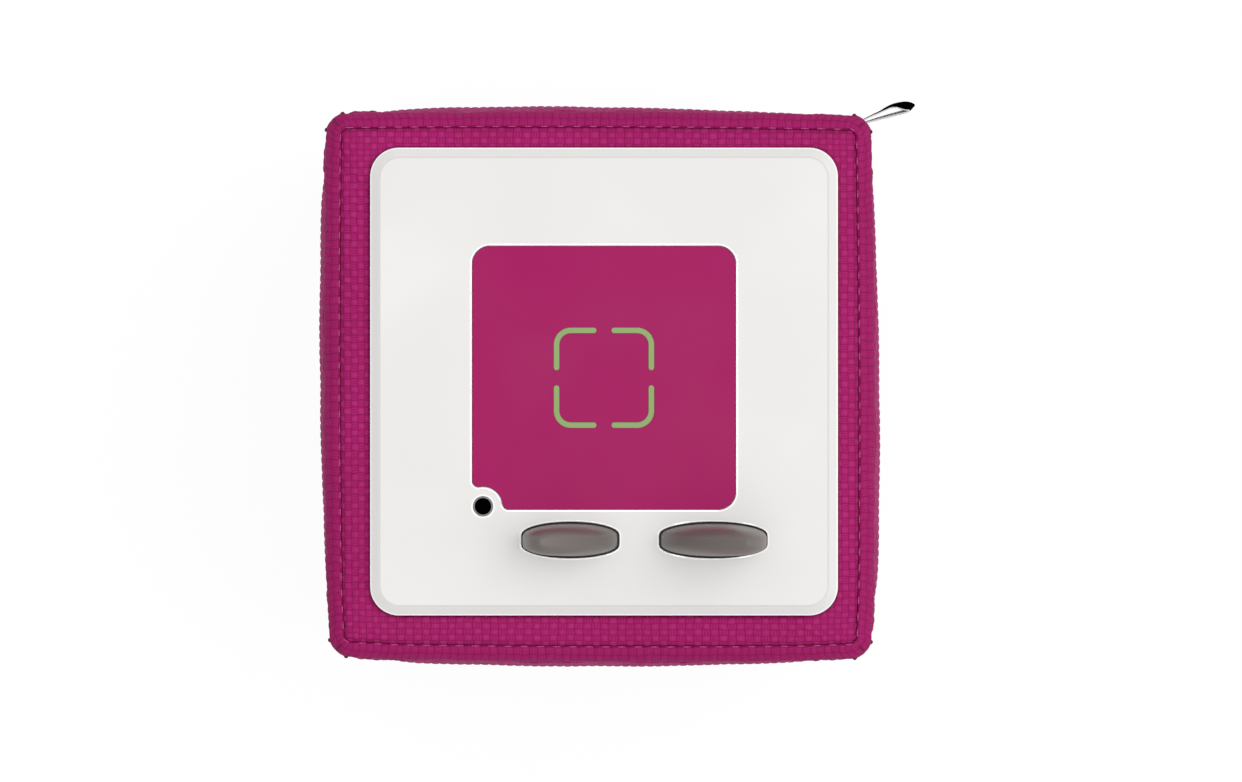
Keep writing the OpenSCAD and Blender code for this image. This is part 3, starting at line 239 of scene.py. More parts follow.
def grid_mesh(name, points):
    """A sheet of quads through a grid of points, and where in the grid each of its vertices lies."""
    columns, rows = points.shape[0] - 1, points.shape[1] - 1
    bm = bmesh.new()
    bmesh.ops.create_grid(bm, x_segments=columns, y_segments=rows, size=1)
    mesh = bpy.data.meshes.new(name)
    bm.to_mesh(mesh)
    bm.free()
    flat = np.empty(len(mesh.vertices) * 3, np.float32)
    mesh.vertices.foreach_get("co", flat)
    start = flat.reshape(-1, 3)
    i = np.rint((start[:, 0] + 1) / 2 * columns).astype(int)
    j = np.rint((start[:, 1] + 1) / 2 * rows).astype(int)
    mesh.vertices.foreach_set("co", points[i, j].astype(np.float32).ravel())
    return mesh, i, j


def grid_piece(name, points, cells, **marks):
    """A closed solid through a grid of points, with a UV map in woven blocks and marks such as Shade, which
    carries painted shade.
    """
    mesh, i, j = grid_mesh(name, points)
    corner = np.empty(len(mesh.loops), np.int32)
    mesh.loops.foreach_get("vertex_index", corner)
    layer = mesh.uv_layers.new(name="Cells")
    layer.data.foreach_set("uv", cells[i, j][corner].astype(np.float32).ravel())
    for key, values in marks.items():
        layer = mesh.attributes.new(key, "FLOAT", "POINT")
        layer.data.foreach_set("value", np.broadcast_to(values, points.shape[:2])[i, j].astype(np.float32))
    bm = bmesh.new()
    bm.from_mesh(mesh)
    bmesh.ops.remove_doubles(bm, verts=bm.verts, dist=1e-7)
    bmesh.ops.holes_fill(bm, edges=[e for e in bm.edges if e.is_boundary], sides=0)
    bmesh.ops.recalc_face_normals(bm, faces=bm.faces)
    bm.to_mesh(mesh)
    bm.free()
    mesh.shade_smooth()
    return link(name, mesh)


def link(name, mesh):
    obj = bpy.data.objects.new(name, mesh)
    bpy.context.scene.collection.objects.link(obj)
    return obj


def from_bmesh(name, bm, smooth_angle=None):
    mesh = bpy.data.meshes.new(name)
    bm.to_mesh(mesh)
    bm.free()
    mesh.shade_smooth()
    if smooth_angle is not None:
        mesh.set_sharp_from_angle(angle=smooth_angle)
    return link(name, mesh)


def apply_modifiers(obj):
    """Puts what the modifiers make into the object's own mesh."""
    graph = bpy.context.evaluated_depsgraph_get()
    old = obj.data
    obj.data = bpy.data.meshes.new_from_object(obj.evaluated_get(graph), depsgraph=graph)
    obj.modifiers.clear()
    bpy.data.meshes.remove(old)


def publish(obj, materials, slot, *nodes, body="root"):
    """Gives a finished piece its materials and body, and hides the nodes that it stands for; slot is not
    used.
    """
    if materials is not None:
        obj.data.materials.clear()
        for finish in materials:
            obj.data.materials.append(finish)
    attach(obj, body)
    if nodes:
        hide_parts(*nodes)
    return obj


def welded_copy(node):
    """A node's mesh as one skin."""
    bm = bmesh.new()
    bm.from_mesh(frame["nodes"][node].data)
    bmesh.ops.remove_doubles(bm, verts=bm.verts, dist=WELD)
    return bm


def clean_copy(node):
    """A rigid node's mesh as one skin, with its flat faces whole."""
    bm = welded_copy(node)
    bmesh.ops.dissolve_limit(
        bm, angle_limit=FLAT, use_dissolve_boundaries=False, verts=bm.verts, edges=bm.edges)
    return bm


def softened(name, bm, finishes):
    """An object of a moulding whose sharp edges are rounded."""
    obj = from_bmesh(name, bm)
    for finish in finishes:
        obj.data.materials.append(material(finish))
    bevel = obj.modifiers.new("Rounding", "BEVEL")
    bevel.width = bpy.context.scene.story_shell.round
    bevel.segments = 2
    bevel.limit_method = "ANGLE"
    bevel.angle_limit = SHARP
    flatten = obj.modifiers.new("Flat Faces", "WEIGHTED_NORMAL")
    flatten.weight = 100
    apply_modifiers(obj)
    return obj


# ---------- Materials ----------


def add_node(tree, kind, settings=None, **inputs):
    """A shader node with its properties set, and its inputs set or linked by name."""
    node = tree.nodes.new(kind)
    for key, value in (settings or {}).items():
        setattr(node, key, value)
    for key, value in inputs.items():
        numbered = key[0] == "i" and key[1:].isdigit()
        plug = node.inputs[int(key[1:]) if numbered else key.replace("_", " ")]
        if isinstance(value, bpy.types.NodeSocket):
            tree.links.new(value, plug)
        else:
            plug.default_value = value
    return node


def maths(tree, operation, a, b=0.0, clamp=False):
    node = add_node(tree, "ShaderNodeMath", {"operation": operation, "use_clamp": clamp}, i0=a, i1=b)
    return node.outputs[0]


def vector_maths(tree, operation, **inputs):
    return add_node(tree, "ShaderNodeVectorMath", {"operation": operation}, **inputs).outputs[0]


def object_place(tree):
    """Where a point lies in the object's own frame."""
    return tree.nodes.new("ShaderNodeTexCoord").outputs["Object"]


def mark(tree, name):
    """A mark that the mesh carries, such as Shade."""
    return add_node(tree, "ShaderNodeAttribute", {"attribute_name": name}).outputs["Fac"]


def woven_cells(tree):
    """Where a point lies in the weave, in blocks."""
    return add_node(tree, "ShaderNodeUVMap", {"uv_map": "Cells"}).outputs[0]


def dimmed(base, share):
    return tuple(c * share for c in base)


def tint(tree, factor, a, b, blend="MIX"):
    """Mixes two colours."""
    node = tree.nodes.new("ShaderNodeMix")
    node.data_type = "RGBA"
    node.blend_type = blend
    for plug, value in ((node.inputs[0], factor), (node.inputs[6], a), (node.inputs[7], b)):
        if isinstance(value, bpy.types.NodeSocket):
            tree.links.new(value, plug)
        elif isinstance(value, float):
            plug.default_value = value
        else:
            plug.default_value = (*value, 1)
    return node.outputs[2]


def spread(tree, value, low, high, to_low, to_high):
    """Carries a value between low and high over to the range between to_low and to_high."""
    node = add_node(
        tree, "ShaderNodeMapRange", {"clamp": True}, i0=value, i1=low, i2=high, i3=to_low, i4=to_high)
    return node.outputs[0]


def new_group(name, inputs, outputs):
    """A shader node group with named sockets, and its input and output nodes."""
    tree = bpy.data.node_groups.new(name, "ShaderNodeTree")
    for label, kind, default in inputs:
        socket = tree.interface.new_socket(label, in_out="INPUT", socket_type="NodeSocket" + kind)
        if default is not None:
            socket.default_value = default
    for label, kind in outputs:
        tree.interface.new_socket(label, in_out="OUTPUT", socket_type="NodeSocket" + kind)
    return tree, tree.nodes.new("NodeGroupInput"), tree.nodes.new("NodeGroupOutput")


def basket_weave_group():
    """Woven blocks of parallel threads, from a UV map in blocks; Lead says which blocks stand proud."""
    tree, given, out = new_group(
        "Basket Weave",
        [("Cells", "Vector", None), ("Lead", "Float", 0.8), ("Threads", "Float", 4.0)],
        [("Height", "Float"), ("Crevice", "Float"), ("Line", "Float"), ("Float", "Float"), ("Tone", "Float")])
    split = add_node(tree, "ShaderNodeSeparateXYZ", i0=given.outputs[0])
    u, v = split.outputs[0], split.outputs[1]
    lead = given.outputs[1]
    block_u, block_v = maths(tree, "FLOOR", u), maths(tree, "FLOOR", v)
    in_u, in_v = maths(tree, "FRACT", u), maths(tree, "FRACT", v)
    odd = maths(tree, "FLOORED_MODULO", maths(tree, "ADD", block_u, block_v), 2.0)
    even = maths(tree, "SUBTRACT", 1.0, odd)
    across = maths(tree, "ADD", maths(tree, "MULTIPLY", odd, in_u), maths(tree, "MULTIPLY", even, in_v))
    along = maths(tree, "ADD", maths(tree, "MULTIPLY", even, in_u), maths(tree, "MULTIPLY", odd, in_v))
    proud = maths(
        tree, "ADD", maths(tree, "MULTIPLY", even, lead),
        maths(tree, "MULTIPLY", odd, maths(tree, "SUBTRACT", 1.0, lead)))
    phase = maths(tree, "MULTIPLY", maths(tree, "MULTIPLY", across, given.outputs[2]), math.pi)
    thread = maths(tree, "POWER", maths(tree, "ABSOLUTE", maths(tree, "SINE", phase)), 0.6)
    # The line and crevice masks carry painted shade in the fabrics, between threads and round each block.
    line = maths(tree, "SUBTRACT", 1.0, thread)
    arch = maths(tree, "SINE", maths(tree, "MULTIPLY", along, math.pi))
    side = maths(tree, "SINE", maths(tree, "MULTIPLY", across, math.pi))
    body = maths(tree, "MULTIPLY", maths(tree, "POWER", arch, 0.5), maths(tree, "POWER", side, 0.3))
    stands = maths(tree, "MULTIPLY", body, maths(tree, "ADD", 0.3, maths(tree, "MULTIPLY", proud, 0.7)))
    height = maths(tree, "ADD", maths(tree, "MULTIPLY", stands, 0.6), maths(tree, "MULTIPLY", thread, 0.4))
    crevice = spread(tree, body, 0.25, 0.6, 1.0, 0.0)
    place = add_node(tree, "ShaderNodeCombineXYZ", i0=block_u, i1=block_v)
    tone = add_node(
        tree, "ShaderNodeTexWhiteNoise", {"noise_dimensions": "2D"}, Vector=place.outputs[0])
    for k, socket in enumerate((height, crevice, line, stands, tone.outputs[0])):
        tree.links.new(socket, out.inputs[k])
    return tree


def fine_grain_group():
    """Small irregularities of a moulded or cast surface."""
    tree, given, out = new_group(
        "Fine Grain",
        [("Scale", "Float", 2500.0), ("Low", "Float", 0.4), ("High", "Float", 0.5)],
        [("Roughness", "Float"), ("Height", "Float"), ("Drift", "Float")])
    place = object_place(tree)
    grain = add_node(tree, "ShaderNodeTexNoise", Vector=place, Scale=given.outputs[0], Detail=3.0)
    broad = add_node(tree, "ShaderNodeTexNoise", Vector=place, Scale=35.0, Detail=2.0)
    rough = spread(tree, broad.outputs[0], 0.3, 0.7, given.outputs[1], given.outputs[2])
    for k, socket in enumerate((rough, grain.outputs[0], broad.outputs[0])):
        tree.links.new(socket, out.inputs[k])
    return tree


def start_material(name):
    material = bpy.data.materials.new(name)
    material.use_nodes = True
    tree = material.node_tree
    tree.nodes.clear()
    shader = tree.nodes.new("ShaderNodeBsdfPrincipled")
    output = tree.nodes.new("ShaderNodeOutputMaterial")
    tree.links.new(shader.outputs[0], output.inputs[0])
    return material, tree, shader


def bump(tree, shader, height, distance, strength=1.0):
    node = add_node(tree, "ShaderNodeBump", Height=height, Distance=distance, Strength=strength)
    tree.links.new(node.outputs[0], shader.inputs["Normal"])


def woven_material(name, base, threads, relief, contrast):
    """Basket-woven synthetic fabric with painted shade in its seams, crevices and thread grooves and a
    painted highlight on its proud blocks; contrast is how much its blocks differ.
    """
    material, tree, shader = start_material(name)
    place = object_place(tree)
    drift = add_node(tree, "ShaderNodeTexNoise", Vector=place, Scale=260.0, Detail=2.0)
    centred = vector_maths(tree, "SUBTRACT", i0=drift.outputs[1], i1=(0.5, 0.5, 0.5))
    wander = vector_maths(tree, "SCALE", i0=centred, Scale=0.5)
    weave = add_node(tree, "ShaderNodeGroup", {"node_tree": bpy.data.node_groups["Basket Weave"]})
    tree.links.new(vector_maths(tree, "ADD", i0=woven_cells(tree), i1=wander), weave.inputs["Cells"])
    tree.links.new(mark(tree, "Lead"), weave.inputs["Lead"])
    weave.inputs["Threads"].default_value = threads
    fibre = add_node(tree, "ShaderNodeTexNoise", Vector=place, Scale=6000.0, Detail=2.0)
    broad = add_node(tree, "ShaderNodeTexNoise", Vector=place, Scale=40.0, Detail=2.0)
    # dark is painted shade for the crevices and the grooves between threads, deep is painted shade for the
    # seams, and pale is a painted highlight on the proud blocks.
    dark, deep, pale = (
        tuple(min(1.0, c * f) for c, f in zip(base, shares))
        for shares in ((0.6, 0.25, 0.46), (0.3, 0.08, 0.22), (1.17, 2.6, 1.36)))
    # Painted highlight: the proud blocks are mixed towards pale.
    stands = maths(tree, "MULTIPLY", spread(tree, weave.outputs["Float"], 0.4, 0.95, 0.0, 1.0), contrast)
    toned = maths(tree, "ADD", maths(tree, "MULTIPLY", weave.outputs["Tone"], 0.5), 0.5)
    lit = tint(tree, maths(tree, "MULTIPLY", stands, toned), base, pale)
    # Painted shade in the grooves between threads, more on the lower blocks.
    flat = spread(tree, weave.outputs["Float"], 0.3, 0.8, 1.0, 0.3)
    groove_shaded = tint(tree, maths(tree, "MULTIPLY", weave.outputs["Line"], flat), lit, dark)
    # Painted shade in the crevices round each block.
    crevice_shaded = tint(tree, maths(tree, "MULTIPLY", weave.outputs["Crevice"], 0.7), groove_shaded, dark)
    patchy = tint(tree, spread(tree, broad.outputs[0], 0.35, 0.7, 0.2, 0.0), crevice_shaded, dark)
    # Painted shade where the Shade mark is set: in the seams and where the fabric tucks under the plate.
    tree.links.new(tint(tree, mark(tree, "Shade"), patchy, deep), shader.inputs["Base Color"])
    tree.links.new(spread(tree, fibre.outputs[0], 0.3, 0.7, 0.66, 0.84), shader.inputs["Roughness"])
    shader.inputs["Sheen Weight"].default_value = 0.14
    shader.inputs["Sheen Roughness"].default_value = 0.25
    shader.inputs["Sheen Tint"].default_value = (0.75, 0.7, 0.75, 1)
    shader.inputs["Specular IOR Level"].default_value = 0.2
    height = maths(tree, "ADD", weave.outputs["Height"], maths(tree, "MULTIPLY", fibre.outputs[0], 0.1))
    bump(tree, shader, height, relief)
    return material


def thread_material(name, base):
    """Twisted sewing thread."""
    material, tree, shader = start_material(name)
    place = object_place(tree)
    twist = add_node(
        tree, "ShaderNodeTexWave", {"bands_direction": "DIAGONAL"}, Vector=place, Scale=900.0, Distortion=1.5)
    tree.links.new(tint(tree, twist.outputs[1], dimmed(base, 0.55), base), shader.inputs["Base Color"])
    shader.inputs["Roughness"].default_value = 0.6
    shader.inputs["Specular IOR Level"].default_value = 0.2
    bump(tree, shader, twist.outputs[1], 0.05 * MM)
    return material


def moulded_material(
        name, base, low, high, scale=2500.0, depth=0.01 * MM, drift=0.06, shaded=False, **constants):
    """Moulded plastic, cast rubber or film: one colour with a fine grain, and painted shade in near black
    where the mesh's Shade mark says so.
    """
    material, tree, shader = start_material(name)
    grain = add_node(tree, "ShaderNodeGroup", {"node_tree": bpy.data.node_groups["Fine Grain"]})
    for k, value in enumerate((scale, low, high)):
        grain.inputs[k].default_value = value
    look = tint(tree, grain.outputs["Drift"], dimmed(base, 1 - drift), base)
    if shaded:
        # Painted shade: near black where the Shade mark is set.
        look = tint(tree, mark(tree, "Shade"), look, dimmed(base, 0.04))
    tree.links.new(look, shader.inputs["Base Color"])
    tree.links.new(grain.outputs["Roughness"], shader.inputs["Roughness"])
    for key, value in constants.items():
        shader.inputs[key.replace("_", " ")].default_value = value
    bump(tree, shader, grain.outputs["Height"], depth)
    return material


def foam_material(name, base):
    """Open-cell foam."""
    material, tree, shader = start_material(name)
    place = object_place(tree)
    cell = add_node(
        tree, "ShaderNodeTexVoronoi", {"feature": "DISTANCE_TO_EDGE"}, Vector=place, Scale=1300.0)
    wall = spread(tree, cell.outputs[0], 0.0, 0.12, 1.0, 0.0)
    tree.links.new(tint(tree, wall, dimmed(base, 0.35), base), shader.inputs["Base Color"])
    shader.inputs["Roughness"].default_value = 0.95
    bump(tree, shader, wall, 0.3 * MM)
    return material


def satin_material(name, base, shine):
    """Satin ribbon, with fine ribs across it."""
    material, tree, shader = start_material(name)
    split = add_node(tree, "ShaderNodeSeparateXYZ", i0=woven_cells(tree))
    ribs = maths(tree, "ABSOLUTE", maths(tree, "SINE", maths(tree, "MULTIPLY", split.outputs[1], math.pi)))
    tree.links.new(tint(tree, ribs, dimmed(base, 0.82), base), shader.inputs["Base Color"])
    tree.links.new(spread(tree, ribs, 0.0, 1.0, 0.62, 0.5), shader.inputs["Roughness"])
    shader.inputs["Specular IOR Level"].default_value = shine
    bump(tree, shader, ribs, 0.02 * MM)
    return material


def paper_material(name, base):
    """Pressed paper pulp of a loudspeaker cone."""
    material, tree, shader = start_material(name)
    place = object_place(tree)
    pulp = add_node(tree, "ShaderNodeTexNoise", Vector=place, Scale=900.0, Detail=6.0, Distortion=1.2)
    tree.links.new(tint(tree, pulp.outputs[0], dimmed(base, 0.6), base), shader.inputs["Base Color"])
    shader.inputs["Roughness"].default_value = 0.9
    bump(tree, shader, pulp.outputs[0], 0.1 * MM)
    return material


def brushed_material(name, base, low, high):
    """Plated or drawn metal with fine scratches."""
    material, tree, shader = start_material(name)
    place = object_place(tree)
    stretch = add_node(tree, "ShaderNodeMapping", i0=place)
    stretch.inputs["Scale"].default_value = (1, 1, 14)
    lines = add_node(tree, "ShaderNodeTexNoise", Vector=stretch.outputs[0], Scale=1600.0, Detail=3.0)
    tree.links.new(tint(tree, lines.outputs[0], dimmed(base, 0.85), base), shader.inputs["Base Color"])
    tree.links.new(spread(tree, lines.outputs[0], 0.3, 0.7, low, high), shader.inputs["Roughness"])
    shader.inputs["Metallic"].default_value = 1.0
    bump(tree, shader, lines.outputs[0], 0.005 * MM)
    return material


def board_material(name, base):
    """Solder resist over copper tracks."""
    material, tree, shader = start_material(name)
    place = object_place(tree)
    tracks = add_node(tree, "ShaderNodeTexBrick", {"offset": 0.5, "squash": 1.0}, Vector=place, Scale=180.0)
    tracks.inputs["Mortar Size"].default_value = 0.04
    mask = maths(tree, "MULTIPLY", tracks.outputs[1], 0.6)
    pale = tuple(min(1.0, c * 1.9) for c in base)
    tree.links.new(tint(tree, mask, base, pale), shader.inputs["Base Color"])
    shader.inputs["Roughness"].default_value = 0.3
    bump(tree, shader, tracks.outputs[1], 0.03 * MM)
    return material


def material(name):
    return bpy.data.materials[name]


# ---------- The white plate ----------


# The edge finish is a painted highlight on a band of polish, and the crease and hole finishes are painted
# shade.
PLATE_FINISHES = ("White Plastic", "White Edge Highlight", "White Crease Shade", "Hole Shade")
WALL_SLOPE = 0.3  # a wall's normal rises less than this
RIM_SLOPE = (0.85, 0.96)  # and that of the sloping rim by this much
CREASE_REACH = 2.4 * MM  # the crease between the rim and the flat top, painted in shade, lies nearer to the edge than this
BAND_REACH = 0.6 * MM  # and the band of polish along the edge, with its painted highlight, nearer than this


def plate_distance(x, y):
    """How far a place lies outside the edge of the white plate."""
    half, radius = PLATE_BOX[1].x, bpy.context.scene.story_shell.corner
    over_x, over_y = np.abs(x) - half + radius, np.abs(y) - half + radius
    outside = np.hypot(np.clip(over_x, 0, None), np.clip(over_y, 0, None))
    return outside + np.minimum(np.maximum(over_x, over_y), 0) - radius


def squarer_plate(bm):
    """Draws the corners of the plate's solid out to the tighter radius of the real plate."""
    shell = bpy.context.scene.story_shell
    flat, spare = PLATE_BOX[1].x - shell.solid_corner, shell.solid_corner - shell.corner
    for vertex in bm.verts:
        x, y = abs(vertex.co.x) - flat, abs(vertex.co.y) - flat
        if min(x, y) <= 0:
            continue
        c, s = x / math.hypot(x, y), y / math.hypot(x, y)
        edge = shell.solid_corner / max(c, s)
        if min(c, s) * edge > spare:
            reach = spare * (c + s)
            edge = reach + math.sqrt(reach ** 2 - 2 * spare ** 2 + shell.corner ** 2)
        grow = edge / shell.solid_corner
        vertex.co.x = math.copysign(flat + x * grow, vertex.co.x)
        vertex.co.y = math.copysign(flat + y * grow, vertex.co.y)


def paint_hole_shade(bm):
    """Marks the walls of the ears' holes, which no light reaches, for painted shade in near black."""
    for ear in ("small_ear_skin", "big_ear_skin"):
        low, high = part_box(ear)
        for face in bm.faces:
            centre = face.calc_center_median()
            beside = all(low[k] - MM < centre[k] < high[k] + MM for k in range(2))
            if beside and abs(face.normal.z) < WALL_SLOPE:
                # Painted shade: the white hole walls take a near-black finish.
                face.material_index = PLATE_FINISHES.index("Hole Shade")


def is_plate_top(face):
    return face.normal.z > 0.999 and abs(face.calc_center_median().z - PLATE_BOX[1].z) < 1e-5


def banded_plate(bm):
    """Marks a band of polish with a painted highlight round the plate and its openings, and the soft crease
    inside its sloping rim in painted shade.
    """
    tops = [face for face in bm.faces if is_plate_top(face)]
    slopes = [face for face in bm.faces if RIM_SLOPE[0] < face.normal.z < RIM_SLOPE[1]]
    if not tops or not slopes:
        raise RuntimeError("the top plate has lost its flat top or its sloping rim")
    # The edge finish is the painted highlight, the crease finish the painted shade.
    edge, crease = PLATE_FINISHES.index("White Edge Highlight"), PLATE_FINISHES.index("White Crease Shade")
    width = bpy.context.scene.story_shell.edge
    for faces in (tops, slopes):
        made = bmesh.ops.inset_region(
            bm, faces=faces, thickness=width, use_even_offset=True, use_boundary=True)
        for face in made["faces"]:
            centre = face.calc_center_median()
            inwards = -plate_distance(np.array(centre.x), np.array(centre.y))
            if faces is tops:
                face.material_index = crease if inwards < CREASE_REACH else edge
            elif inwards < BAND_REACH:
                face.material_index = edge


def plate_piece():
    """The white plate, with a painted highlight on its edges of polish, and painted shade in its crease and
    on the walls of its ear holes.
    """
    plate = clean_copy("top_plate")
    squarer_plate(plate)
    banded_plate(plate)
    paint_hole_shade(plate)
    return publish(softened("plate_moulding", plate, PLATE_FINISHES), None, "white_shell", "top_plate")


# ---------- Forms of the cover ----------


FRONT_CORNER = 0.7  # a front corner begins at this share of the way from the middle
FOLD_WAVES = ((3.45, 0.45), (7.3, 0.35), (13.0, 0.5), (29.0, 0.6))  # pitch in mm, then height
FOLD_REACH = 4.5 * MM  # how far the folds run from their seam
FOLD_START = 0.5 * MM  # and how near to it they begin
CLOTH_COUNT = 57  # points along each edge of the simulated sheet
CLOTH_STEPS = 20
CLOTH_PRESSURE = 4
CLOTH_MASS = 0.3
CLOTH_SLACK = 0.015  # how much wider the sheet is cut than its seams
SIDE_LEAD = 0.8  # how far every other block of a side stands proud
STRIP_LEAD = 0.6  # and every other block of a strip
BACK_STEPS = 13  # places across the hidden back of a side
SIDE_DIP_REACH = 2.2 * MM  # how far from its seams a side is drawn in
SIDE_CLEARANCE = 0.15 * MM  # between a side and the strips at its ends


def cover():
    return bpy.context.scene.story_cover


def settled(points):
    """Moves points of the cover to where it sits on the shell, askew, with its front corners drawn in."""
    c = cover()
    x, y = points[..., 0].copy(), points[..., 1].copy()
    near_side, near_front = (
        smoothstep((at / c.body_half - FRONT_CORNER) / (1 - FRONT_CORNER)) for at in (np.abs(x), -y))
    near = near_side * near_front
    points[..., 0] = x + c.shift_x + c.skew * y - np.sign(x) * near * c.corner_pull
    points[..., 1] = y + c.shift_y + c.skew * x + near * c.corner_pull
    return points


def turned(points, quarters):
    """Turns points about the upright axis by quarter turns."""
    a = math.pi / 2 * quarters
    x, y = points[..., 0].copy(), points[..., 1].copy()
    points[..., 0] = x * math.cos(a) - y * math.sin(a)
    points[..., 1] = x * math.sin(a) + y * math.cos(a)
    return points


def mirrored(points):
    """Turns a top piece of the cover into the bottom one."""
    points[..., 2] = 2 * MID_Z - points[..., 2]
    return points


def blocks(u, v, lead):
    """How high a basket weave stands at u, v, in blocks; lead is how far its even blocks stand proud."""
    in_u, in_v = u - np.floor(u), v - np.floor(v)
    odd = (np.floor(u) + np.floor(v)) % 2 > 0.5
    across = np.where(odd, in_u, in_v)
    along = np.where(odd, in_v, in_u)
    arch = np.sin(np.pi * along) ** 0.55 * np.sin(np.pi * across) ** 0.3
    return arch * (0.4 + 0.6 * np.where(odd, 1 - lead, lead))


def block_steps(count):
    """Places from 0 to count whose vertices fall in the crevices of a weave and on its blocks."""
    steps = [k + s for k in range(count) for s in CELL_STEPS]
    return np.array(steps + [count], float)


def seam_folds(seed, along, distance):
    """Small folds that run away from a seam, along it in metres and away from it in metres."""
    rng = np.random.default_rng(seed)
    wave = np.zeros_like(along)
    for pitch, share in FOLD_WAVES:
        turn = rng.uniform(0, 2 * math.pi)
        drift = rng.uniform(0.9, 1.1)
        wave += share * np.sin(2 * math.pi * along / (pitch * drift * MM) + turn)
    return wave * np.exp(-distance / FOLD_REACH) * (1 - np.exp(-distance / FOLD_START))


def side_half_height():
    return (SIDE_BOX[1].z - SIDE_BOX[0].z) / 2


def side_reach(v):
    """How far the seams of a side lie from the middle, at v across it from -1 to 1."""
    c = cover()
    return c.body_half + c.edge_bow * (1 - (v * c.seam_half / c.body_half) ** 2)


def resampled(grid, v, w):
    """Reads a square grid of offsets smoothly at rows of places v and w, both from -1 to 1."""
    places = np.linspace(-1, 1, grid.shape[0])[:, None]
    first = through(np.concatenate([places, grid.reshape(len(places), -1)], axis=1), v)
    first = first.reshape(len(v), len(places), 3).transpose(1, 0, 2)
    second = through(np.concatenate([places, first.reshape(len(places), -1)], axis=1), w)
    return second.reshape(len(w), len(v), 3).transpose(1, 0, 2)


def pressed_out(obj, seam_vertices):
    """Gives a sheet the foam's pressure as a cloth held along its seams, and runs it."""
    held = obj.vertex_groups.new(name="Seam")
    held.add(seam_vertices.tolist(), 1.0, "REPLACE")
    cloth = obj.modifiers.new("Swelling", "CLOTH")
    cloth.settings.vertex_group_mass = held.name
    cloth.settings.mass = CLOTH_MASS
    cloth.settings.use_pressure = True
    cloth.settings.uniform_pressure_force = CLOTH_PRESSURE
    cloth.settings.shrink_min = -CLOTH_SLACK
    cloth.settings.effector_weights.gravity = 0
    cloth.collision_settings.use_collision = False
    for step in range(1, CLOTH_STEPS + 1):
        bpy.context.scene.frame_set(step)


def swelling(slant):
    """How far a woven side moves where the foam presses it out, more towards one end by slant."""
    c = cover()
    places = np.linspace(-1, 1, CLOTH_COUNT)
    v, w = np.meshgrid(places, places, indexing="ij")
    limit = ((c.crown * (1 + slant * v) + c.bulge * (1 - v * v)) * (1 - np.abs(w) ** 8))[..., None]
    start = np.stack([side_reach(v), v * c.seam_half, MID_Z + w * side_half_height()], axis=-1)
    mesh, i, j = grid_mesh("swelling_side", start)
    obj = link("swelling_side", mesh)
    pressed_out(obj, np.flatnonzero((np.minimum(i, j) == 0) | (np.maximum(i, j) == CLOTH_COUNT - 1)))
    graph = bpy.context.evaluated_depsgraph_get()
    flat = np.empty(len(mesh.vertices) * 3, np.float32)
    obj.evaluated_get(graph).data.vertices.foreach_get("co", flat)
    moved = np.zeros_like(start)
    moved[i, j] = flat.reshape(-1, 3) - start[i, j]
    bpy.data.meshes.remove(mesh)
    bpy.context.scene.frame_set(1)
    far = np.linalg.norm(moved, axis=-1, keepdims=True)
    return moved * limit / np.cbrt(limit ** 3 + far ** 3 + 1e-15)


def side_panel(name, node, quarters, slant, seed):
    """One woven side: its front follows the swollen foam, and its back lies one thickness behind."""
    c = cover()
    half_y, half_z = c.seam_half - SIDE_CLEARANCE, side_half_height()
    wide, high = round(2 * half_y / c.block_w), round(2 * half_z / c.block_h)
    front, rows = block_steps(wide), block_steps(high)
    back = np.linspace(wide, 0, BACK_STEPS)
    u = np.concatenate([front, back, front[:1]])
    is_back = np.concatenate([front * 0, back * 0 + 1, [0]])
    u_grid, v_grid = np.meshgrid(u, rows, indexing="ij")
    hidden = np.broadcast_to(is_back[:, None], u_grid.shape)
    v, w = u_grid / wide * 2 - 1, v_grid / high * 2 - 1
    from_side = (1 - np.abs(v)) * half_y
    from_end = (1 - np.abs(w)) * half_z
    from_seam = np.minimum(from_side, from_end)
    dip = c.seam_dip * (1 - smoothstep(from_seam / SIDE_DIP_REACH))
    inset = np.where(hidden > 0, c.thickness, dip)
    points = np.stack([side_reach(v) - inset, v * half_y, MID_Z + w * half_z], axis=-1)
    points = points + resampled(swelling(slant), u / wide * 2 - 1, rows / high * 2 - 1)
    fade = smoothstep(from_seam / (0.9 * MM))
    relief = c.weave_depth * blocks(u_grid, v_grid, SIDE_LEAD) * fade
    for k, (along, distance) in enumerate((
            (w * half_z, (1 - v) * half_y), (w * half_z, (1 + v) * half_y),
            (v * half_y, (1 - w) * half_z), (v * half_y, (1 + w) * half_z))):
        relief = relief + c.pucker * seam_folds(seed + k, along, distance)
    points = points + normals_of(points) * (relief * (1 - hidden))[..., None]
    points[-1] = points[0]
    settled(turned(points, quarters))
    # Painted shade along the seams.
    shade = 0.8 * (1 - smoothstep(from_seam / (0.5 * MM)))
    obj = grid_piece(name, points, np.stack([u_grid, v_grid], axis=-1), Lead=SIDE_LEAD, Shade=shade)
    return publish(obj, [material("Cover Fabric")], "cover_fabric", node)


def square_ring(turn, half, radius, bow):
    """Points round a square with rounded corners and bowed sides; turn runs from 0 to 4."""
    quarter = np.floor(turn)
    share = turn - quarter
    angle = np.clip(share / CORNER_SHARE, 0, 1) * math.pi / 2
    along = np.clip((share - CORNER_SHARE) / (1 - CORNER_SHARE), 0, 1)
    flat = half - radius
    x = flat + radius * np.cos(angle) - 2 * flat * along
    y = flat + radius * np.sin(angle)
    a = quarter * math.pi / 2
    x, y = x * np.cos(a) - y * np.sin(a), x * np.sin(a) + y * np.cos(a)
    return (
        x * (1 + bow / half * (1 - (y / half) ** 2)),
        y * (1 + bow / half * (1 - (x / half) ** 2)))


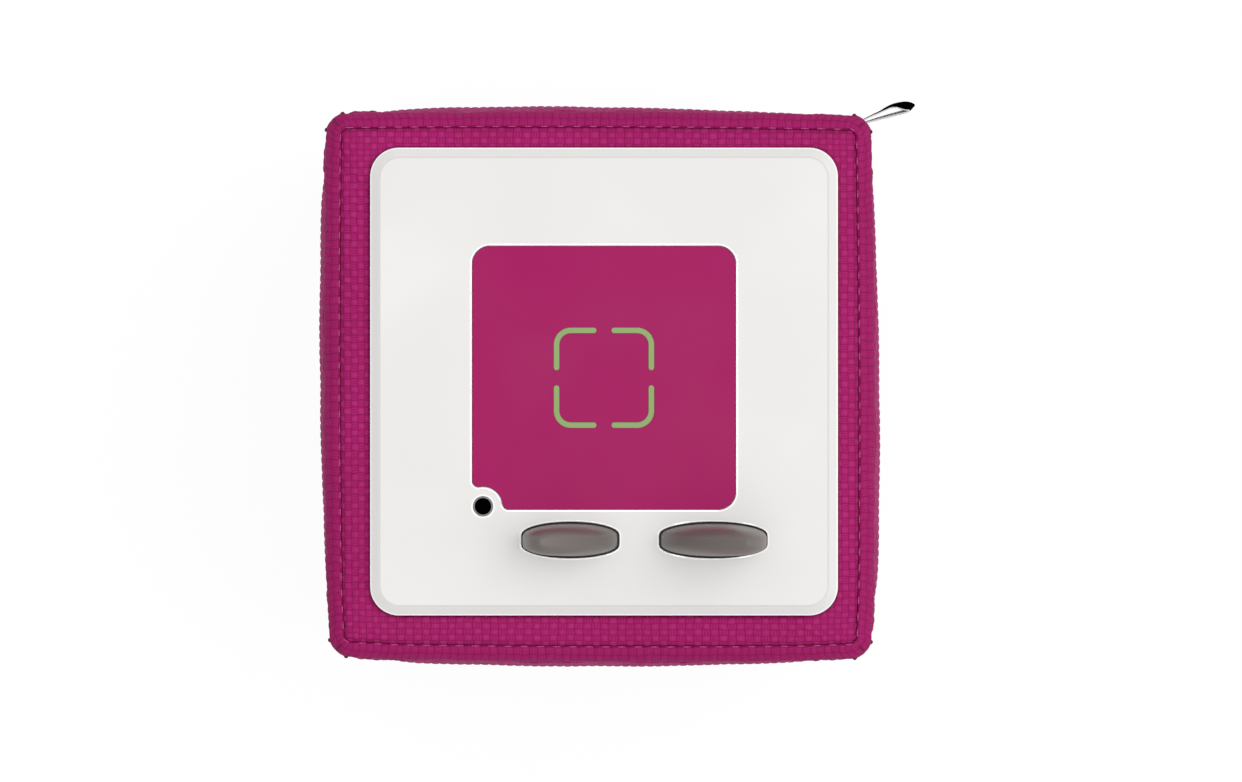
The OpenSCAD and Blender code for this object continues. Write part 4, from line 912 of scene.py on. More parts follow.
def ring_points(section, turn, place):
    """Points of a square ring from its section, as rows of (place, half width, radius, bow, height) in mm."""
    half, radius, bow, z = np.moveaxis(through(section, place), -1, 0) * MM
    x, y = square_ring(turn, half, radius, bow)
    return np.stack([x, y, z], axis=-1)


def round_and_across(turns, shown, hidden, back):
    """A grid of places round a ring and across its section, whose hidden part runs from back to 2."""
    return np.meshgrid(
        np.linspace(0, 4, turns), np.concatenate([np.linspace(0, 1, shown), np.linspace(back, 2, hidden)]),
        indexing="ij")


def closed_ring(points):
    """Joins the ends of a grid of points, round the ring and across its section."""
    points[-1] = points[0]
    points[:, -1] = points[:, 0]
    return points


# The sections of the end panels and the strips, as place, half width, corner radius, bow and height in mm
END_SECTION = (
    (0.00, 54.42, 1.2, 0.45, 115.4), (0.05, 54.42, 1.2, 0.45, 116.5), (0.13, 54.1, 1.6, 0.45, 116.9),
    (0.30, 52.7, 2.8, 0.4, 117.4), (0.56, 50.0, 5.6, 0.2, 117.72), (0.68, 49.0, 6.8, 0.0, 117.45),
    (0.80, 48.2, 6.7, 0.0, 117.0), (1.00, 46.8, 6.2, 0.0, 116.8), (1.10, 46.8, 6.2, 0.0, 115.9),
    (1.50, 52.0, 4.0, 0.3, 116.2), (1.80, 53.4, 1.8, 0.4, 115.5), (2.00, 54.42, 1.2, 0.45, 115.4))
STRIP_SECTION = (
    (0.00, 57.45, 4.6, 0.62, 113.6), (0.05, 57.65, 4.6, 0.62, 113.85), (0.25, 57.72, 4.5, 0.62, 114.75),
    (0.50, 56.95, 4.2, 0.6, 115.9), (0.75, 55.80, 3.0, 0.52, 116.7), (0.94, 54.8, 1.7, 0.46, 117.0),
    (1.00, 54.52, 1.4, 0.45, 116.7), (1.15, 54.52, 1.4, 0.45, 115.5), (1.60, 56.2, 3.4, 0.6, 113.8),
    (2.00, 57.45, 4.6, 0.62, 113.6))


def stretched(place, inner, pitch_inner, pitch_outer):
    """Counts blocks from the middle, whose pitch changes at a distance from it."""
    near = np.minimum(np.abs(place), inner) / pitch_inner
    far = np.maximum(np.abs(place) - inner, 0) / pitch_outer
    return np.sign(place) * (near + far)


PLATE_REACH = 47 * MM  # the weave is pulled tighter farther out than this
END_PITCH_X = (1.8 * MM, 1.46 * MM)  # width of a block of an end panel, over the plate and beside it
END_PITCH_Y = (1.54 * MM, 1.27 * MM)
STRIP_PITCH = (1.76 * MM, 1.45 * MM)
STRIP_WIDTH = 4.6 * MM
STRIP_RELIEF = 0.7  # depth of a strip's weave, as a share of a side's
DIMPLE_DEPTH = 0.22 * MM
MITRE_DEPTH = 0.25 * MM  # of the groove where a strip turns a corner


def end_panel(name, node, seed, bottom):
    """The woven ring between a strip and the plate, whose blocks stay square to the body."""
    c = cover()
    turn, place = round_and_across(1441, 37, 7, 1.1)
    points = ring_points(END_SECTION, turn, place)
    points[-1] = points[0]
    x, y = points[..., 0], points[..., 1]
    u = stretched(x, PLATE_REACH, *END_PITCH_X)
    v = stretched(y, PLATE_REACH, *END_PITCH_Y)
    lead = 0.08 + 0.84 * smoothstep((np.abs(y) - np.abs(x)) / (5 * MM) + 0.5)
    shown = smoothstep(place / 0.12) * smoothstep((0.8 - place) / 0.12)
    from_seam = np.clip(c.seam_half - np.maximum(np.abs(x), np.abs(y)), 0, None)
    relief = 1.3 * c.weave_depth * blocks(u, v, lead) * shown
    relief = relief + 0.6 * c.pucker * seam_folds(seed, turn * 2 * c.seam_half, from_seam) * (place < 0.9)
    normal = normals_of(points)
    upward = np.where(normal[..., 2:] < 0, -1.0, 1.0)
    points = closed_ring(points + np.where(place[..., None] < 0.9, normal * upward * relief[..., None], 0))
    settled(points)
    # Painted shade: in the outer seam, in the groove beside the strip, and where the fabric tucks under the
    # plate's edge.
    shade = 0.6 * (1 - smoothstep((place - 0.03) / 0.06))
    dip = 0.22 * np.exp(-((place - 0.13) / 0.05) ** 2)
    under = 1 - smoothstep((plate_distance(points[..., 0], points[..., 1]) - 0.15 * MM) / (0.3 * MM))
    shade = np.clip(np.maximum(np.maximum(shade, dip), under), 0, 1)
    if bottom:
        mirrored(points)
    obj = grid_piece(name, points, np.stack([u, v], axis=-1), Lead=lead, Shade=shade)
    return publish(obj, [material("Cover Fabric")], "cover_fabric", node)


def stitch_pull(along, pitch):
    """1 at each stitch of a row, 0 halfway between two."""
    return 0.5 + 0.5 * np.cos(2 * math.pi * along / pitch)


def strip_relief(along, across, width, pitch, depth, slant):
    """Height of a strip: its slanted weave, and the dimples that its stitches pull along both edges."""
    a, b = (along + slant * across) / STRIP_PITCH[0], across / STRIP_PITCH[1]
    edge = np.minimum(across, width - across)
    weave = depth * blocks(a, b, STRIP_LEAD) * smoothstep(edge / (0.5 * MM))
    dimple = DIMPLE_DEPTH * stitch_pull(along, pitch) * np.exp(-(edge / (0.6 * MM)) ** 2)
    return weave - dimple, np.stack([a, b], axis=-1)


def strip_shade(along, across, width, pitch):
    """Painted shade on a strip: in the seams along both its edges, and where its stitches pull it in."""
    outer = 1 - smoothstep((across - 0.08 * MM) / ((0.2 + 0.3 * stitch_pull(along, pitch)) * MM))
    inner = 1 - smoothstep((width - across) / (0.2 * MM))
    return np.clip(np.maximum(outer, 0.6 * inner), 0, 1)


def ring_strip(name, node, seed, bottom):
    """The sewn strip round the top or bottom edge."""
    c = cover()
    turn, place = round_and_across(1761, 21, 5, 1.15)
    points = ring_points(STRIP_SECTION, turn, place)
    points[-1] = points[0]
    count = round(8 * c.body_half / c.stitch_pitch / 4) * 4
    along = turn / 4 * count * c.stitch_pitch
    front = np.clip(place, 0, 1)
    across = front * STRIP_WIDTH
    slant = 0.75 * (2 * np.mod(turn - CORNER_SHARE / 2, 1) - 1) ** 3
    relief, cells = strip_relief(
        along, across, STRIP_WIDTH, c.stitch_pitch, STRIP_RELIEF * c.weave_depth, slant)
    shown = smoothstep(place / 0.06) * smoothstep((1 - place) / 0.06)
    folds = 0.5 * c.pucker * seam_folds(seed, along, np.full_like(along, 1.2 * MM))
    from_mitre = np.abs(np.mod(turn - CORNER_SHARE / 2 + 0.5, 1) - 0.5) * 2 * c.body_half
    mitre = np.exp(-(from_mitre / (0.3 * MM)) ** 2) * smoothstep((0.8 - front) / 0.3)
    normal = normals_of(points)
    outward = np.sign(np.sum(normal * (points - np.array([0, 0, MID_Z])), axis=-1, keepdims=True))
    points = closed_ring(
        points + normal * outward * ((relief + folds - MITRE_DEPTH * mitre) * shown)[..., None])
    settled(points)
    if bottom:
        mirrored(points)
    # Painted shade in the seams along the strip and in the mitre groove at each corner.
    shade = np.maximum(strip_shade(along, across, STRIP_WIDTH, c.stitch_pitch), 0.7 * mitre)
    obj = grid_piece(name, points, cells, Lead=STRIP_LEAD, Shade=shade)
    return publish(obj, [material("Strip Fabric")], "binding_fabric", node)


CORNER_HALF_WIDTH = 2.6 * MM
CORNER_BOW = 0.25 * MM  # how far a corner strip stands out halfway up
CORNER_SECTION = (
    # place, then how far across, as a share of half the width, and how far out in mm
    (0.00, -1.0, 0.00), (0.05, -1.02, 0.25), (0.22, -0.66, 0.72), (0.50, 0.0, 1.0), (0.78, 0.66, 0.72),
    (0.95, 1.02, 0.25), (1.00, 1.0, 0.0), (1.10, 0.8, -0.7), (1.90, -0.8, -0.7), (2.00, -1.0, 0.0))


def corner_point(w, across, out):
    """A point of the strip down the rear right corner: w up it, and across and out of it in metres."""
    c = cover()
    middle = (c.body_half + c.seam_half) / 2
    bow = CORNER_BOW * (1 - w * w)
    x = middle + (out + bow - across) / math.sqrt(2)
    y = middle + (out + bow + across) / math.sqrt(2)
    return np.stack([x, y, MID_Z + w * (side_half_height() - 0.1 * MM)], axis=-1)


def corner_strips(name, node):
    """The four strips down the upright edges."""
    c = cover()
    half_width, tall = CORNER_HALF_WIDTH, 2 * side_half_height()
    bm = bmesh.new()
    for k in range(4):
        turn, place = round_and_across(421, 21, 4, 1.1)
        w = turn / 2 - 1
        across, out = np.moveaxis(through(CORNER_SECTION, place) * (half_width, MM), -1, 0)
        points = corner_point(w, across, out)
        along = (w + 1) / 2 * tall
        relief, cells = strip_relief(
            along, across + half_width, 2 * half_width, c.stitch_pitch, STRIP_RELIEF * c.weave_depth, 0.0)
        shown = smoothstep(place / 0.06) * smoothstep((1 - place) / 0.06) * smoothstep((1 - np.abs(w)) / 0.01)
        folds = 0.5 * c.pucker * seam_folds(60 + k, along, np.full_like(along, 1.2 * MM))
        normal = normals_of(points)
        outward = np.sign(np.sum(normal * np.array([1, 1, 0]), axis=-1, keepdims=True))
        points = points + normal * outward * ((relief + folds) * shown)[..., None]
        points[:, -1] = points[:, 0]
        settled(turned(points, k))
        # Painted shade in the seams along the strip.
        shade = strip_shade(along, across + half_width, 2 * half_width, c.stitch_pitch)
        one = grid_piece(f"{name}_{k}", points, cells, Lead=STRIP_LEAD, Shade=shade)
        bm.from_mesh(one.data)
        bpy.data.meshes.remove(one.data)
    obj = from_bmesh(name, bm)
    return publish(obj, [material("Strip Fabric")], "binding_fabric", node)


def stitch_row(bm, path, outward, pitch, size, radius, phase=0.5):
    """Lays short lengths of thread along a path, each a long bead whose ends dive into the fabric."""
    step = np.linalg.norm(np.diff(path, axis=0), axis=1)
    travelled = np.concatenate([[0], np.cumsum(step)])
    count = max(1, round(travelled[-1] / pitch))
    places = (np.arange(count) + phase) * travelled[-1] / count
    tangent = np.gradient(path, axis=0)
    row = bmesh.new()
    for at in places:
        centre = np.array([np.interp(at, travelled, path[:, k]) for k in range(3)])
        ahead = np.array([np.interp(at, travelled, tangent[:, k]) for k in range(3)])
        up = np.array([np.interp(at, travelled, outward[:, k]) for k in range(3)])
        z = Vector(ahead).normalized()
        y = (Vector(up) - z * z.dot(Vector(up))).normalized()
        x = y.cross(z)
        turn = Matrix((x * radius, y * radius, z * size / 2)).transposed().to_4x4()
        bmesh.ops.create_uvsphere(
            row, u_segments=8, v_segments=6, radius=1, matrix=Matrix.Translation(Vector(centre)) @ turn)
    mesh = bpy.data.meshes.new("stitch_row")
    row.to_mesh(mesh)
    row.free()
    bm.from_mesh(mesh)
    bpy.data.meshes.remove(mesh)


def ring_path(section, place, lift, bottom):
    """A path round the body at one place of a ring's section, and the way out of the fabric along it."""
    turn, across = np.meshgrid(np.linspace(0, 4, 961), place + np.array([-0.03, 0, 0.03]), indexing="ij")
    points = ring_points(section, turn, across)
    normal = normals_of(points)
    normal = normal * np.sign(np.sum(normal * (points - np.array([0, 0, MID_Z])), axis=-1, keepdims=True))
    path = settled(points[:, 1] + normal[:, 1] * lift)
    out = normal[:, 1].copy()
    if bottom:
        mirrored(path)
        out[:, 2] *= -1
    return path, out


INNER_ROW = (0.95, 0.05 * MM)  # where a row of stitches lies across a strip, and its height on it
OUTER_ROW = (0.03, 0.02 * MM)
CORNER_ROW = (2.5 * MM, 0.35 * MM)  # a corner strip's rows lie this far to each side, and this far out
KNOT = (2.4 * MM, 0.3 * MM)  # and so do the knots at its ends
KNOT_RADIUS = 0.5 * MM


def seam_stitches():
    """The sewing: dashes inside each strip, paler than the fabric as a painted highlight, and darker ones in
    the outer seams as painted shade.
    """
    c = cover()
    inner, outer = bmesh.new(), bmesh.new()
    for bottom in (False, True):
        path, out = ring_path(STRIP_SECTION, *INNER_ROW, bottom)
        stitch_row(inner, path, out, c.stitch_pitch, c.stitch_length, c.thread_radius)
        path, out = ring_path(STRIP_SECTION, *OUTER_ROW, bottom)
        stitch_row(outer, path, out, c.stitch_pitch, 1.3 * c.stitch_length, 1.3 * c.thread_radius, 0.0)
    for k in range(4):
        for side in (-1, 1):
            w = np.linspace(-0.97, 0.97, 120)
            across, out = np.full_like(w, side * CORNER_ROW[0]), np.full_like(w, CORNER_ROW[1])
            path = settled(turned(corner_point(w, across, out), k))
            way = np.tile(np.array([[1 - 0.6 * side, 1 + 0.6 * side, 0.0]]), (len(w), 1))
            stitch_row(outer, path, turned(way, k), c.stitch_pitch, c.stitch_length, 1.25 * c.thread_radius)
            for w_end in (-0.985, 0.985):
                knot = corner_point(np.array([w_end]), np.array([side * KNOT[0]]), np.array([KNOT[1]]))
                centre = Vector(settled(turned(knot, k))[0])
                bmesh.ops.create_icosphere(
                    outer, subdivisions=2, radius=KNOT_RADIUS, matrix=Matrix.Translation(centre))
    # The inner stitches take the paler thread as a painted highlight, and the seam stitches and knots the
    # darker thread as painted shade.
    bright = from_bmesh("strip_stitches", inner)
    publish(bright, [material("Thread")], "binding_fabric")
    dark = from_bmesh("seam_stitches", outer)
    publish(dark, [material("Seam Thread Shade")], "binding_fabric")


FOAM_CELL = 1.5 * MM
FOAM_REACH = 50 * MM  # beyond this the foam is drawn in under the fabric
FOAM_SHARE = 0.72  # and keeps this share of what it has there


def foam_piece():
    """The foam cube inside the cover."""
    obj = from_bmesh("foam_cube", welded_copy("foam_block"))
    remesh = obj.modifiers.new("Cells", "REMESH")
    remesh.mode = "VOXEL"
    remesh.voxel_size = FOAM_CELL
    remesh.use_smooth_shade = True
    apply_modifiers(obj)
    for vertex in obj.data.vertices:
        for k in range(2):
            over = abs(vertex.co[k]) - FOAM_REACH
            if over > 0:
                vertex.co[k] = math.copysign(FOAM_REACH + FOAM_SHARE * over, vertex.co[k])
    publish(obj, [material("Foam")], "foam", "foam_block")
    return obj


TUNNEL_RADIUS = 6.95 * MM
TUNNEL_DEPTH = 24 * MM


def cut_tunnel(piece):
    """Cuts the hole for a headphone plug's grip through the rear fabric."""
    low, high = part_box("jack_collar")
    bm = bmesh.new()
    way = Matrix.Translation(Vector(((low.x + high.x) / 2, high.y, (low.z + high.z) / 2)))
    bmesh.ops.create_cone(
        bm, cap_ends=True, segments=96, radius1=TUNNEL_RADIUS, radius2=TUNNEL_RADIUS, depth=TUNNEL_DEPTH,
        matrix=way @ Matrix.Rotation(math.pi / 2, 4, "X"))
    cutter = from_bmesh("tunnel_cutter", bm)
    cut = piece.modifiers.new("Tunnel", "BOOLEAN")
    cut.operation = "DIFFERENCE"
    cut.solver = "EXACT"
    cut.object = cutter
    apply_modifiers(piece)
    bpy.data.meshes.remove(cutter.data)


# ---------- The ribbon ----------


LABEL_PATH = (
    # place, then x and y of the upper edge and x and y of the lower edge, in mm
    (0, 54.90, 55.82, 55.42, 56.46), (1, 56.40, 56.51, 56.94, 57.22), (2, 57.90, 57.19, 58.46, 58.00),
    (3, 59.19, 57.73, 59.76, 58.63), (4, 60.48, 58.31, 61.06, 59.45), (5, 61.55, 58.74, 62.36, 60.08),
    (6, 62.73, 58.83, 63.66, 60.45), (7, 63.70, 58.52, 65.07, 60.64), (8, 64.62, 58.31, 66.26, 60.53),
    (9, 65.48, 58.22, 67.20, 59.99), (10, 65.31, 57.95, 66.48, 59.34), (11, 64.12, 57.56, 64.96, 58.86),
    (12, 61.98, 57.02, 62.58, 58.18), (13, 59.19, 56.31, 59.76, 57.36), (14, 56.40, 55.61, 56.94, 56.41),
    (15, 54.90, 55.24, 55.42, 55.89))


LABEL_FRONT = 58.6 * MM  # the ribbon's white face turns up at its front edge, short of this


def label_piece():
    """The folded ribbon at the rear right corner: black outside, white inside."""
    settings = bpy.context.scene.story_label
    low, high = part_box("label_loop")
    run, rise = 121, 19
    places = through(LABEL_PATH, np.linspace(0, len(LABEL_PATH) - 1, run)) * MM
    w = np.linspace(0, 1, rise)[None, :, None]
    upper, lower = places[:, None, :2], places[:, None, 2:]
    flat = lower + (upper - lower) * w ** 1.5
    z = np.broadcast_to((low.z + high.z) / 2 + (w - 0.5) * settings.height, flat[..., :1].shape)
    middle = np.concatenate([flat, z], axis=-1)
    normal = normals_of(middle)
    half = normal * settings.thickness / 2
    shell = np.concatenate([middle + half, (middle - half)[::-1], (middle + half)[:1]])
    pitch = np.concatenate([np.arange(run), np.arange(run)[::-1], [0]]) * 0.25
    cells = np.stack(np.meshgrid(pitch, np.linspace(-24, 24, rise), indexing="ij"), axis=-1)
    towards_middle = np.sum(normal * (middle.mean(axis=(0, 1)) - middle)) > 0
    first_half = np.arange(2 * run + 1) % (2 * run) < run
    inside = np.where(first_half == towards_middle, 1.0, 0.0)[:, None]
    obj = grid_piece("ribbon_loop", shell, cells, Inside=inside)
    publish(obj, [material("Ribbon Outside"), material("Ribbon Inside")], "label_ribbon", "label_loop")
    share = np.empty(len(obj.data.vertices), np.float32)
    obj.data.attributes["Inside"].data.foreach_get("value", share)
    fold = Vector(middle[run // 2 + 10, rise // 2])
    for face in obj.data.polygons:
        marked = share[list(face.vertices)]
        front_edge = marked.max() > 0.5 and face.center.y < LABEL_FRONT and face.center.x < fold.x
        face.material_index = int(marked.min() > 0.5 or front_edge and face.center.y < fold.y)
    return obj


# ---------- Ears ----------


LENS_POWER = 5  # the higher, the blunter an ear's ends in plan
LENS_THINNING = 0.35  # how much thinner an ear is at its ends than in the middle
OUTER_TAPER = (0.24, 9)  # how much an ear's skin thins towards its tip, and how squarely it ends there
INNER_TAPER = (0.12, 5)
SKIN_FOOT = 1.5 * MM  # how far under the plate's top the skin turns down to its flange
FLANGE_TOP = 3.1 * MM
FLANGE_UNDER = 4.5 * MM
TIP_STEPS = 38  # rings up the outside of an ear
INNER_STEPS = 12  # and down its inside
EAR_SHARP = math.radians(50)


def lens(angle, half_l, half_t):
    """A blunt lens, as an ear is in plan: a rounded box whose long sides bulge."""
    c, s = np.cos(angle), np.sin(angle)
    reach = (np.abs(c) ** LENS_POWER + np.abs(s) ** LENS_POWER) ** (-1 / LENS_POWER)
    along = reach * c
    return half_l * along, half_t * reach * s * (1 - LENS_THINNING * along ** 2)


def ear_angles(settings):
    return 2 * math.pi * (np.arange(settings.points + 1) + 0.5) / settings.points


def ear_rings(settings, size, height, inset, taper, side, shares):
    """Rings of an ear's skin at shares of its height, thinned and ended by taper."""
    share = np.asarray(shares)[:, None]
    half_l, half_t = size / 2 - inset, settings.thickness / 2 - inset
    x, y = lens(
        ear_angles(settings)[None, :], half_l * (1 - share ** 1.8) ** 0.7,
        half_t * np.sqrt(1 - share ** taper[1]) * (1 - taper[0] * share))
    x = x + side * 2 * settings.lean * half_l * share ** 1.6
    z = PLATE_BOX[1].z + share * (height - 1.25 * inset) + 0 * x
    return np.stack([x, y, z], axis=-1)


def flat_ring(settings, size, grow, z):
    """One level ring of an ear's skin, wider than the ear by grow."""
    x, y = lens(ear_angles(settings), size / 2 + grow, settings.thickness / 2 + grow)
    return np.stack([x, y, np.full_like(x, z)], axis=-1)[None]


def ear_piece(name, node, side, size):
    """A hollow silicone ear, whose two halves give towards its middle when it is squeezed."""
    settings = bpy.context.scene.story_ears
    low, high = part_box(node)
    middle_y = (low.y + high.y) / 2
    inner_end = low.x if side > 0 else high.x
    foot_x = inner_end + side * (size / 2 + settings.flange)
    plate_top = PLATE_BOX[1].z
    height = high.z - plate_top
    shares = 1 - (1 - np.linspace(0, 1, TIP_STEPS)) ** 1.7
    shares[-1] = 0.99995
    outside_rings = ear_rings(settings, size, height, 0, OUTER_TAPER, side, shares)
    inside_rings = ear_rings(
        settings, size, height, settings.wall, INNER_TAPER, side, np.linspace(0.97, 0, INNER_STEPS))
    feet = [
        flat_ring(settings, size, grow, plate_top - depth) for grow, depth in (
            (-settings.wall, FLANGE_UNDER), (settings.flange, FLANGE_UNDER), (settings.flange, FLANGE_TOP),
            (0, FLANGE_TOP), (0, SKIN_FOOT))]
    rings = np.concatenate([inside_rings, *feet, outside_rings])
    rings[:, -1] = rings[:, 0]
    rings = rings + np.array([foot_x, middle_y, 0])
    up, turn = np.meshgrid(
        np.arange(rings.shape[0]) * 1.0, np.arange(rings.shape[1]) * 1.0, indexing="ij")
    # Painted shade: the skin below the plate's top is marked to turn near black, so the gap round the ear
    # shows dark.
    sunk_shade = 1 - smoothstep((rings[..., 2] - plate_top + 0.25 * MM) / (0.3 * MM))
    obj = grid_piece(name, rings, np.stack([up, turn], axis=-1), Shade=sunk_shade)
    obj.data.set_sharp_from_angle(angle=EAR_SHARP)
    publish(obj, [material("Ear Silicone")], "ear_rubber", node)
    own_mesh(obj)
    return obj


# ---------- Operators ----------


class StoryOperator:
    bl_options = {"REGISTER", "UNDO"}


class STORY_OT_materials(StoryOperator, bpy.types.Operator):
    """Makes the finishes of the whole player"""

    bl_idname = "story.materials"
    bl_label = "Finishes"

    def execute(self, context):
        scene = context.scene
        soft, shell, label = scene.story_cover, scene.story_shell, scene.story_label
        ears, inside = scene.story_ears, scene.story_inside
        basket_weave_group()
        fine_grain_group()
        woven_material("Cover Fabric", tuple(soft.fabric_colour), 3, 0.1 * MM, 0.7)
        woven_material("Strip Fabric", tuple(soft.strip_colour), 3, 0.08 * MM, 0.5)
        # The paler thread is a painted highlight, and the seam thread painted shade.
        thread_material("Thread", tuple(soft.thread_highlight_colour))
        thread_material("Seam Thread Shade", tuple(soft.seam_thread_shade_colour))
        foam_material("Foam", tuple(soft.foam_colour))
        satin_material("Ribbon Outside", tuple(label.outside), 0.0)
        satin_material("Ribbon Inside", tuple(label.inside), 0.3)
        moulded_material("White Plastic", tuple(shell.white), 0.34, 0.42, drift=0.01, depth=0.003 * MM)
        # Brighter than the white as a painted highlight on the band of polish.
        moulded_material("White Edge Highlight", tuple(shell.polish_and_highlight), 0.14, 0.2, drift=0.0, depth=0.001 * MM)
        # Darker than the white as painted shade in the crease.
        moulded_material("White Crease Shade", tuple(shell.crease_shade), 0.5, 0.6, drift=0.02, depth=0.003 * MM)
        moulded_material("White Part", tuple(shell.white), 0.4, 0.5, drift=0.03)
        moulded_material(
            "Pad Plastic", tuple(shell.pink), 0.38, 0.46, drift=0.08, depth=0.006 * MM,
            Specular_IOR_Level=0.12)
        moulded_material("Mark Ink", tuple(shell.green), 0.42, 0.5, drift=0.05)
        moulded_material("Lamp Ring", tuple(shell.grey), 0.25, 0.32)
        # Painted shade on the walls of the ears' holes.
        moulded_material("Hole Shade", tuple(shell.window), 0.6, 0.7, Specular_IOR_Level=0.0)
        moulded_material(
            "Lamp Window", tuple(shell.window), 0.1, 0.16, depth=0.001 * MM, Specular_IOR_Level=0.0)
        # Turns near black where the Shade mark is set, as painted shade.
        moulded_material(
            "Ear Silicone", tuple(ears.silicone), 0.36, 0.42, scale=1800.0, drift=0.08, shaded=True,
            Specular_IOR_Level=0.3)
        moulded_material("Dark Plastic", tuple(inside.dark_plastic), 0.45, 0.55, depth=0.03 * MM)
        moulded_material("Black Plastic", tuple(inside.black_plastic), 0.4, 0.5)
        moulded_material("Foot Rubber", tuple(inside.rubber), 0.7, 0.8, scale=1500.0, depth=0.03 * MM)
        moulded_material("Black Rubber", tuple(inside.black_plastic), 0.6, 0.7)
        moulded_material("Lead Sheath", tuple(inside.lead), 0.4, 0.5)
        moulded_material("Sleeve Film", tuple(inside.sleeve), 0.12, 0.2, depth=0.02 * MM, scale=600.0)
        board_material("Circuit Board", tuple(inside.board))
        paper_material("Cone Paper", srgb(64, 64, 68))
        brushed_material("Plated Steel", srgb(190, 192, 196), 0.25, 0.4)
        brushed_material("Cell Can", srgb(202, 202, 206), 0.2, 0.35)
        brushed_material("Copper Foil", srgb(212, 132, 88), 0.3, 0.45)
        brushed_material("Gilt Contact", srgb(222, 182, 98), 0.2, 0.3)
        return {"FINISHED"}


SIDES = (
    # piece, node, quarter turns from the right, how much more it swells at one end, and seed
    ("right_side_fabric", "cover_right", 0, -0.34, 11), ("rear_side_fabric", "cover_rear", 1, 0.58, 21),
    ("left_side_fabric", "cover_left", 2, -0.43, 31), ("front_side_fabric", "cover_front", 3, -0.19, 41))


class STORY_OT_cover(StoryOperator, bpy.types.Operator):
    """Makes the six woven panels of the cover and the foam under them"""

    bl_idname = "story.cover"
    bl_label = "Woven Panels"

    def execute(self, context):
        pieces = [side_panel(*side) for side in SIDES]
        pieces.append(end_panel("top_fabric", "cover_top", 51, False))
        pieces.append(end_panel("underside_fabric", "cover_bottom", 52, True))
        cut_tunnel(pieces[1])
        foam_piece()
        return {"FINISHED"}


class STORY_OT_strips(StoryOperator, bpy.types.Operator):
    """Makes the sewn strips along the twelve edges, and their stitches"""

    bl_idname = "story.strips"
    bl_label = "Strips and Stitches"

    def execute(self, context):
        pieces = [
            ring_strip("top_strip", "cover_top_binding", 71, False),
            ring_strip("underside_strip", "cover_bottom_binding", 72, True),
            corner_strips("corner_strips", "cover_corner_bindings"),
        ]
        seam_stitches()
        return {"FINISHED"}


class STORY_OT_label(StoryOperator, bpy.types.Operator):
    """Makes the ribbon loop at the rear right corner"""

    bl_idname = "story.label"
    bl_label = "Ribbon Loop"

    def execute(self, context):
        label_piece()
        return {"FINISHED"}


MOULDINGS = (
    ("pad_moulding", "figure_pad", "Pad Plastic", "pink_plastic"),
    ("lamp_ring", "led_bezel", "Lamp Ring", "grey_plastic"),
    ("base_moulding", "base_plate", "White Plastic", "white_shell"),
    ("tunnel_collar", "jack_collar", "White Plastic", "white_shell"),
    ("foot", "foot_ring", "Foot Rubber", "grey_rubber"))


class STORY_OT_shell(StoryOperator, bpy.types.Operator):
    """Rounds the edges of the plate, the pad, the lamp, the base and the headphone socket"""

    bl_idname = "story.shell"
    bl_label = "Mouldings"

    def execute(self, context):
        plate_piece()
        for name, node, finish, slot in MOULDINGS:
            publish(softened(name, clean_copy(node), (finish,)), None, slot, node)
        return {"FINISHED"}


class STORY_OT_ears(StoryOperator, bpy.types.Operator):
    """Makes the two silicone ears"""

    bl_idname = "story.ears"
    bl_label = "Ears"

    def execute(self, context):
        ears = context.scene.story_ears
        ear_piece("small_ear", "small_ear_skin", -1, ears.small_length)
        ear_piece("big_ear", "big_ear_skin", 1, ears.big_length)
        return {"FINISHED"}


SLOT_FINISHES = {
    "white_shell": "White Plastic", "pink_plastic": "Pad Plastic", "green_ink": "Mark Ink",
    "grey_plastic": "Lamp Ring", "smoked_window": "Lamp Window", "white_part": "White Part",
    "dark_plastic": "Dark Plastic", "black_plastic": "Black Plastic", "circuit_board": "Circuit Board",
    "copper": "Copper Foil", "plated_steel": "Plated Steel", "cone_paper": "Cone Paper",
    "black_rubber": "Black Rubber", "grey_rubber": "Foot Rubber", "lead_sheath": "Lead Sheath",
    "cell_can": "Cell Can", "sleeve_film": "Sleeve Film", "gilt_contact": "Gilt Contact",
    "cover_fabric": "Cover Fabric", "binding_fabric": "Strip Fabric", "label_ribbon": "Ribbon Outside",
    "foam": "Foam", "ear_rubber": "Ear Silicone",
}


class STORY_OT_inside(StoryOperator, bpy.types.Operator):
    """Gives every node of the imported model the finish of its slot"""

    bl_idname = "story.inside"
    bl_label = "Inner Parts"

    def execute(self, context):
        for part in frame["record"]["subparts"]:
            obj = frame["nodes"][part["node"]]
            obj.data.materials.clear()
            obj.data.materials.append(material(SLOT_FINISHES[part["material_slot"]]))
        return {"FINISHED"}


FLOOR_HALF = 4  # metres
FLOOR_GLOW = 0.93  # how bright the floor shows to the camera
FLOOR_SHADE = 0.09  # and how much the lamps' shadows add to or take from it
KEY_WAY = (0.573, 0.175, 0.8)  # where each lamp stands, from the middle of the floor
TOP_WAY = (0.0, 0.0, 1.0)
TOP_SPREAD = math.radians(12)


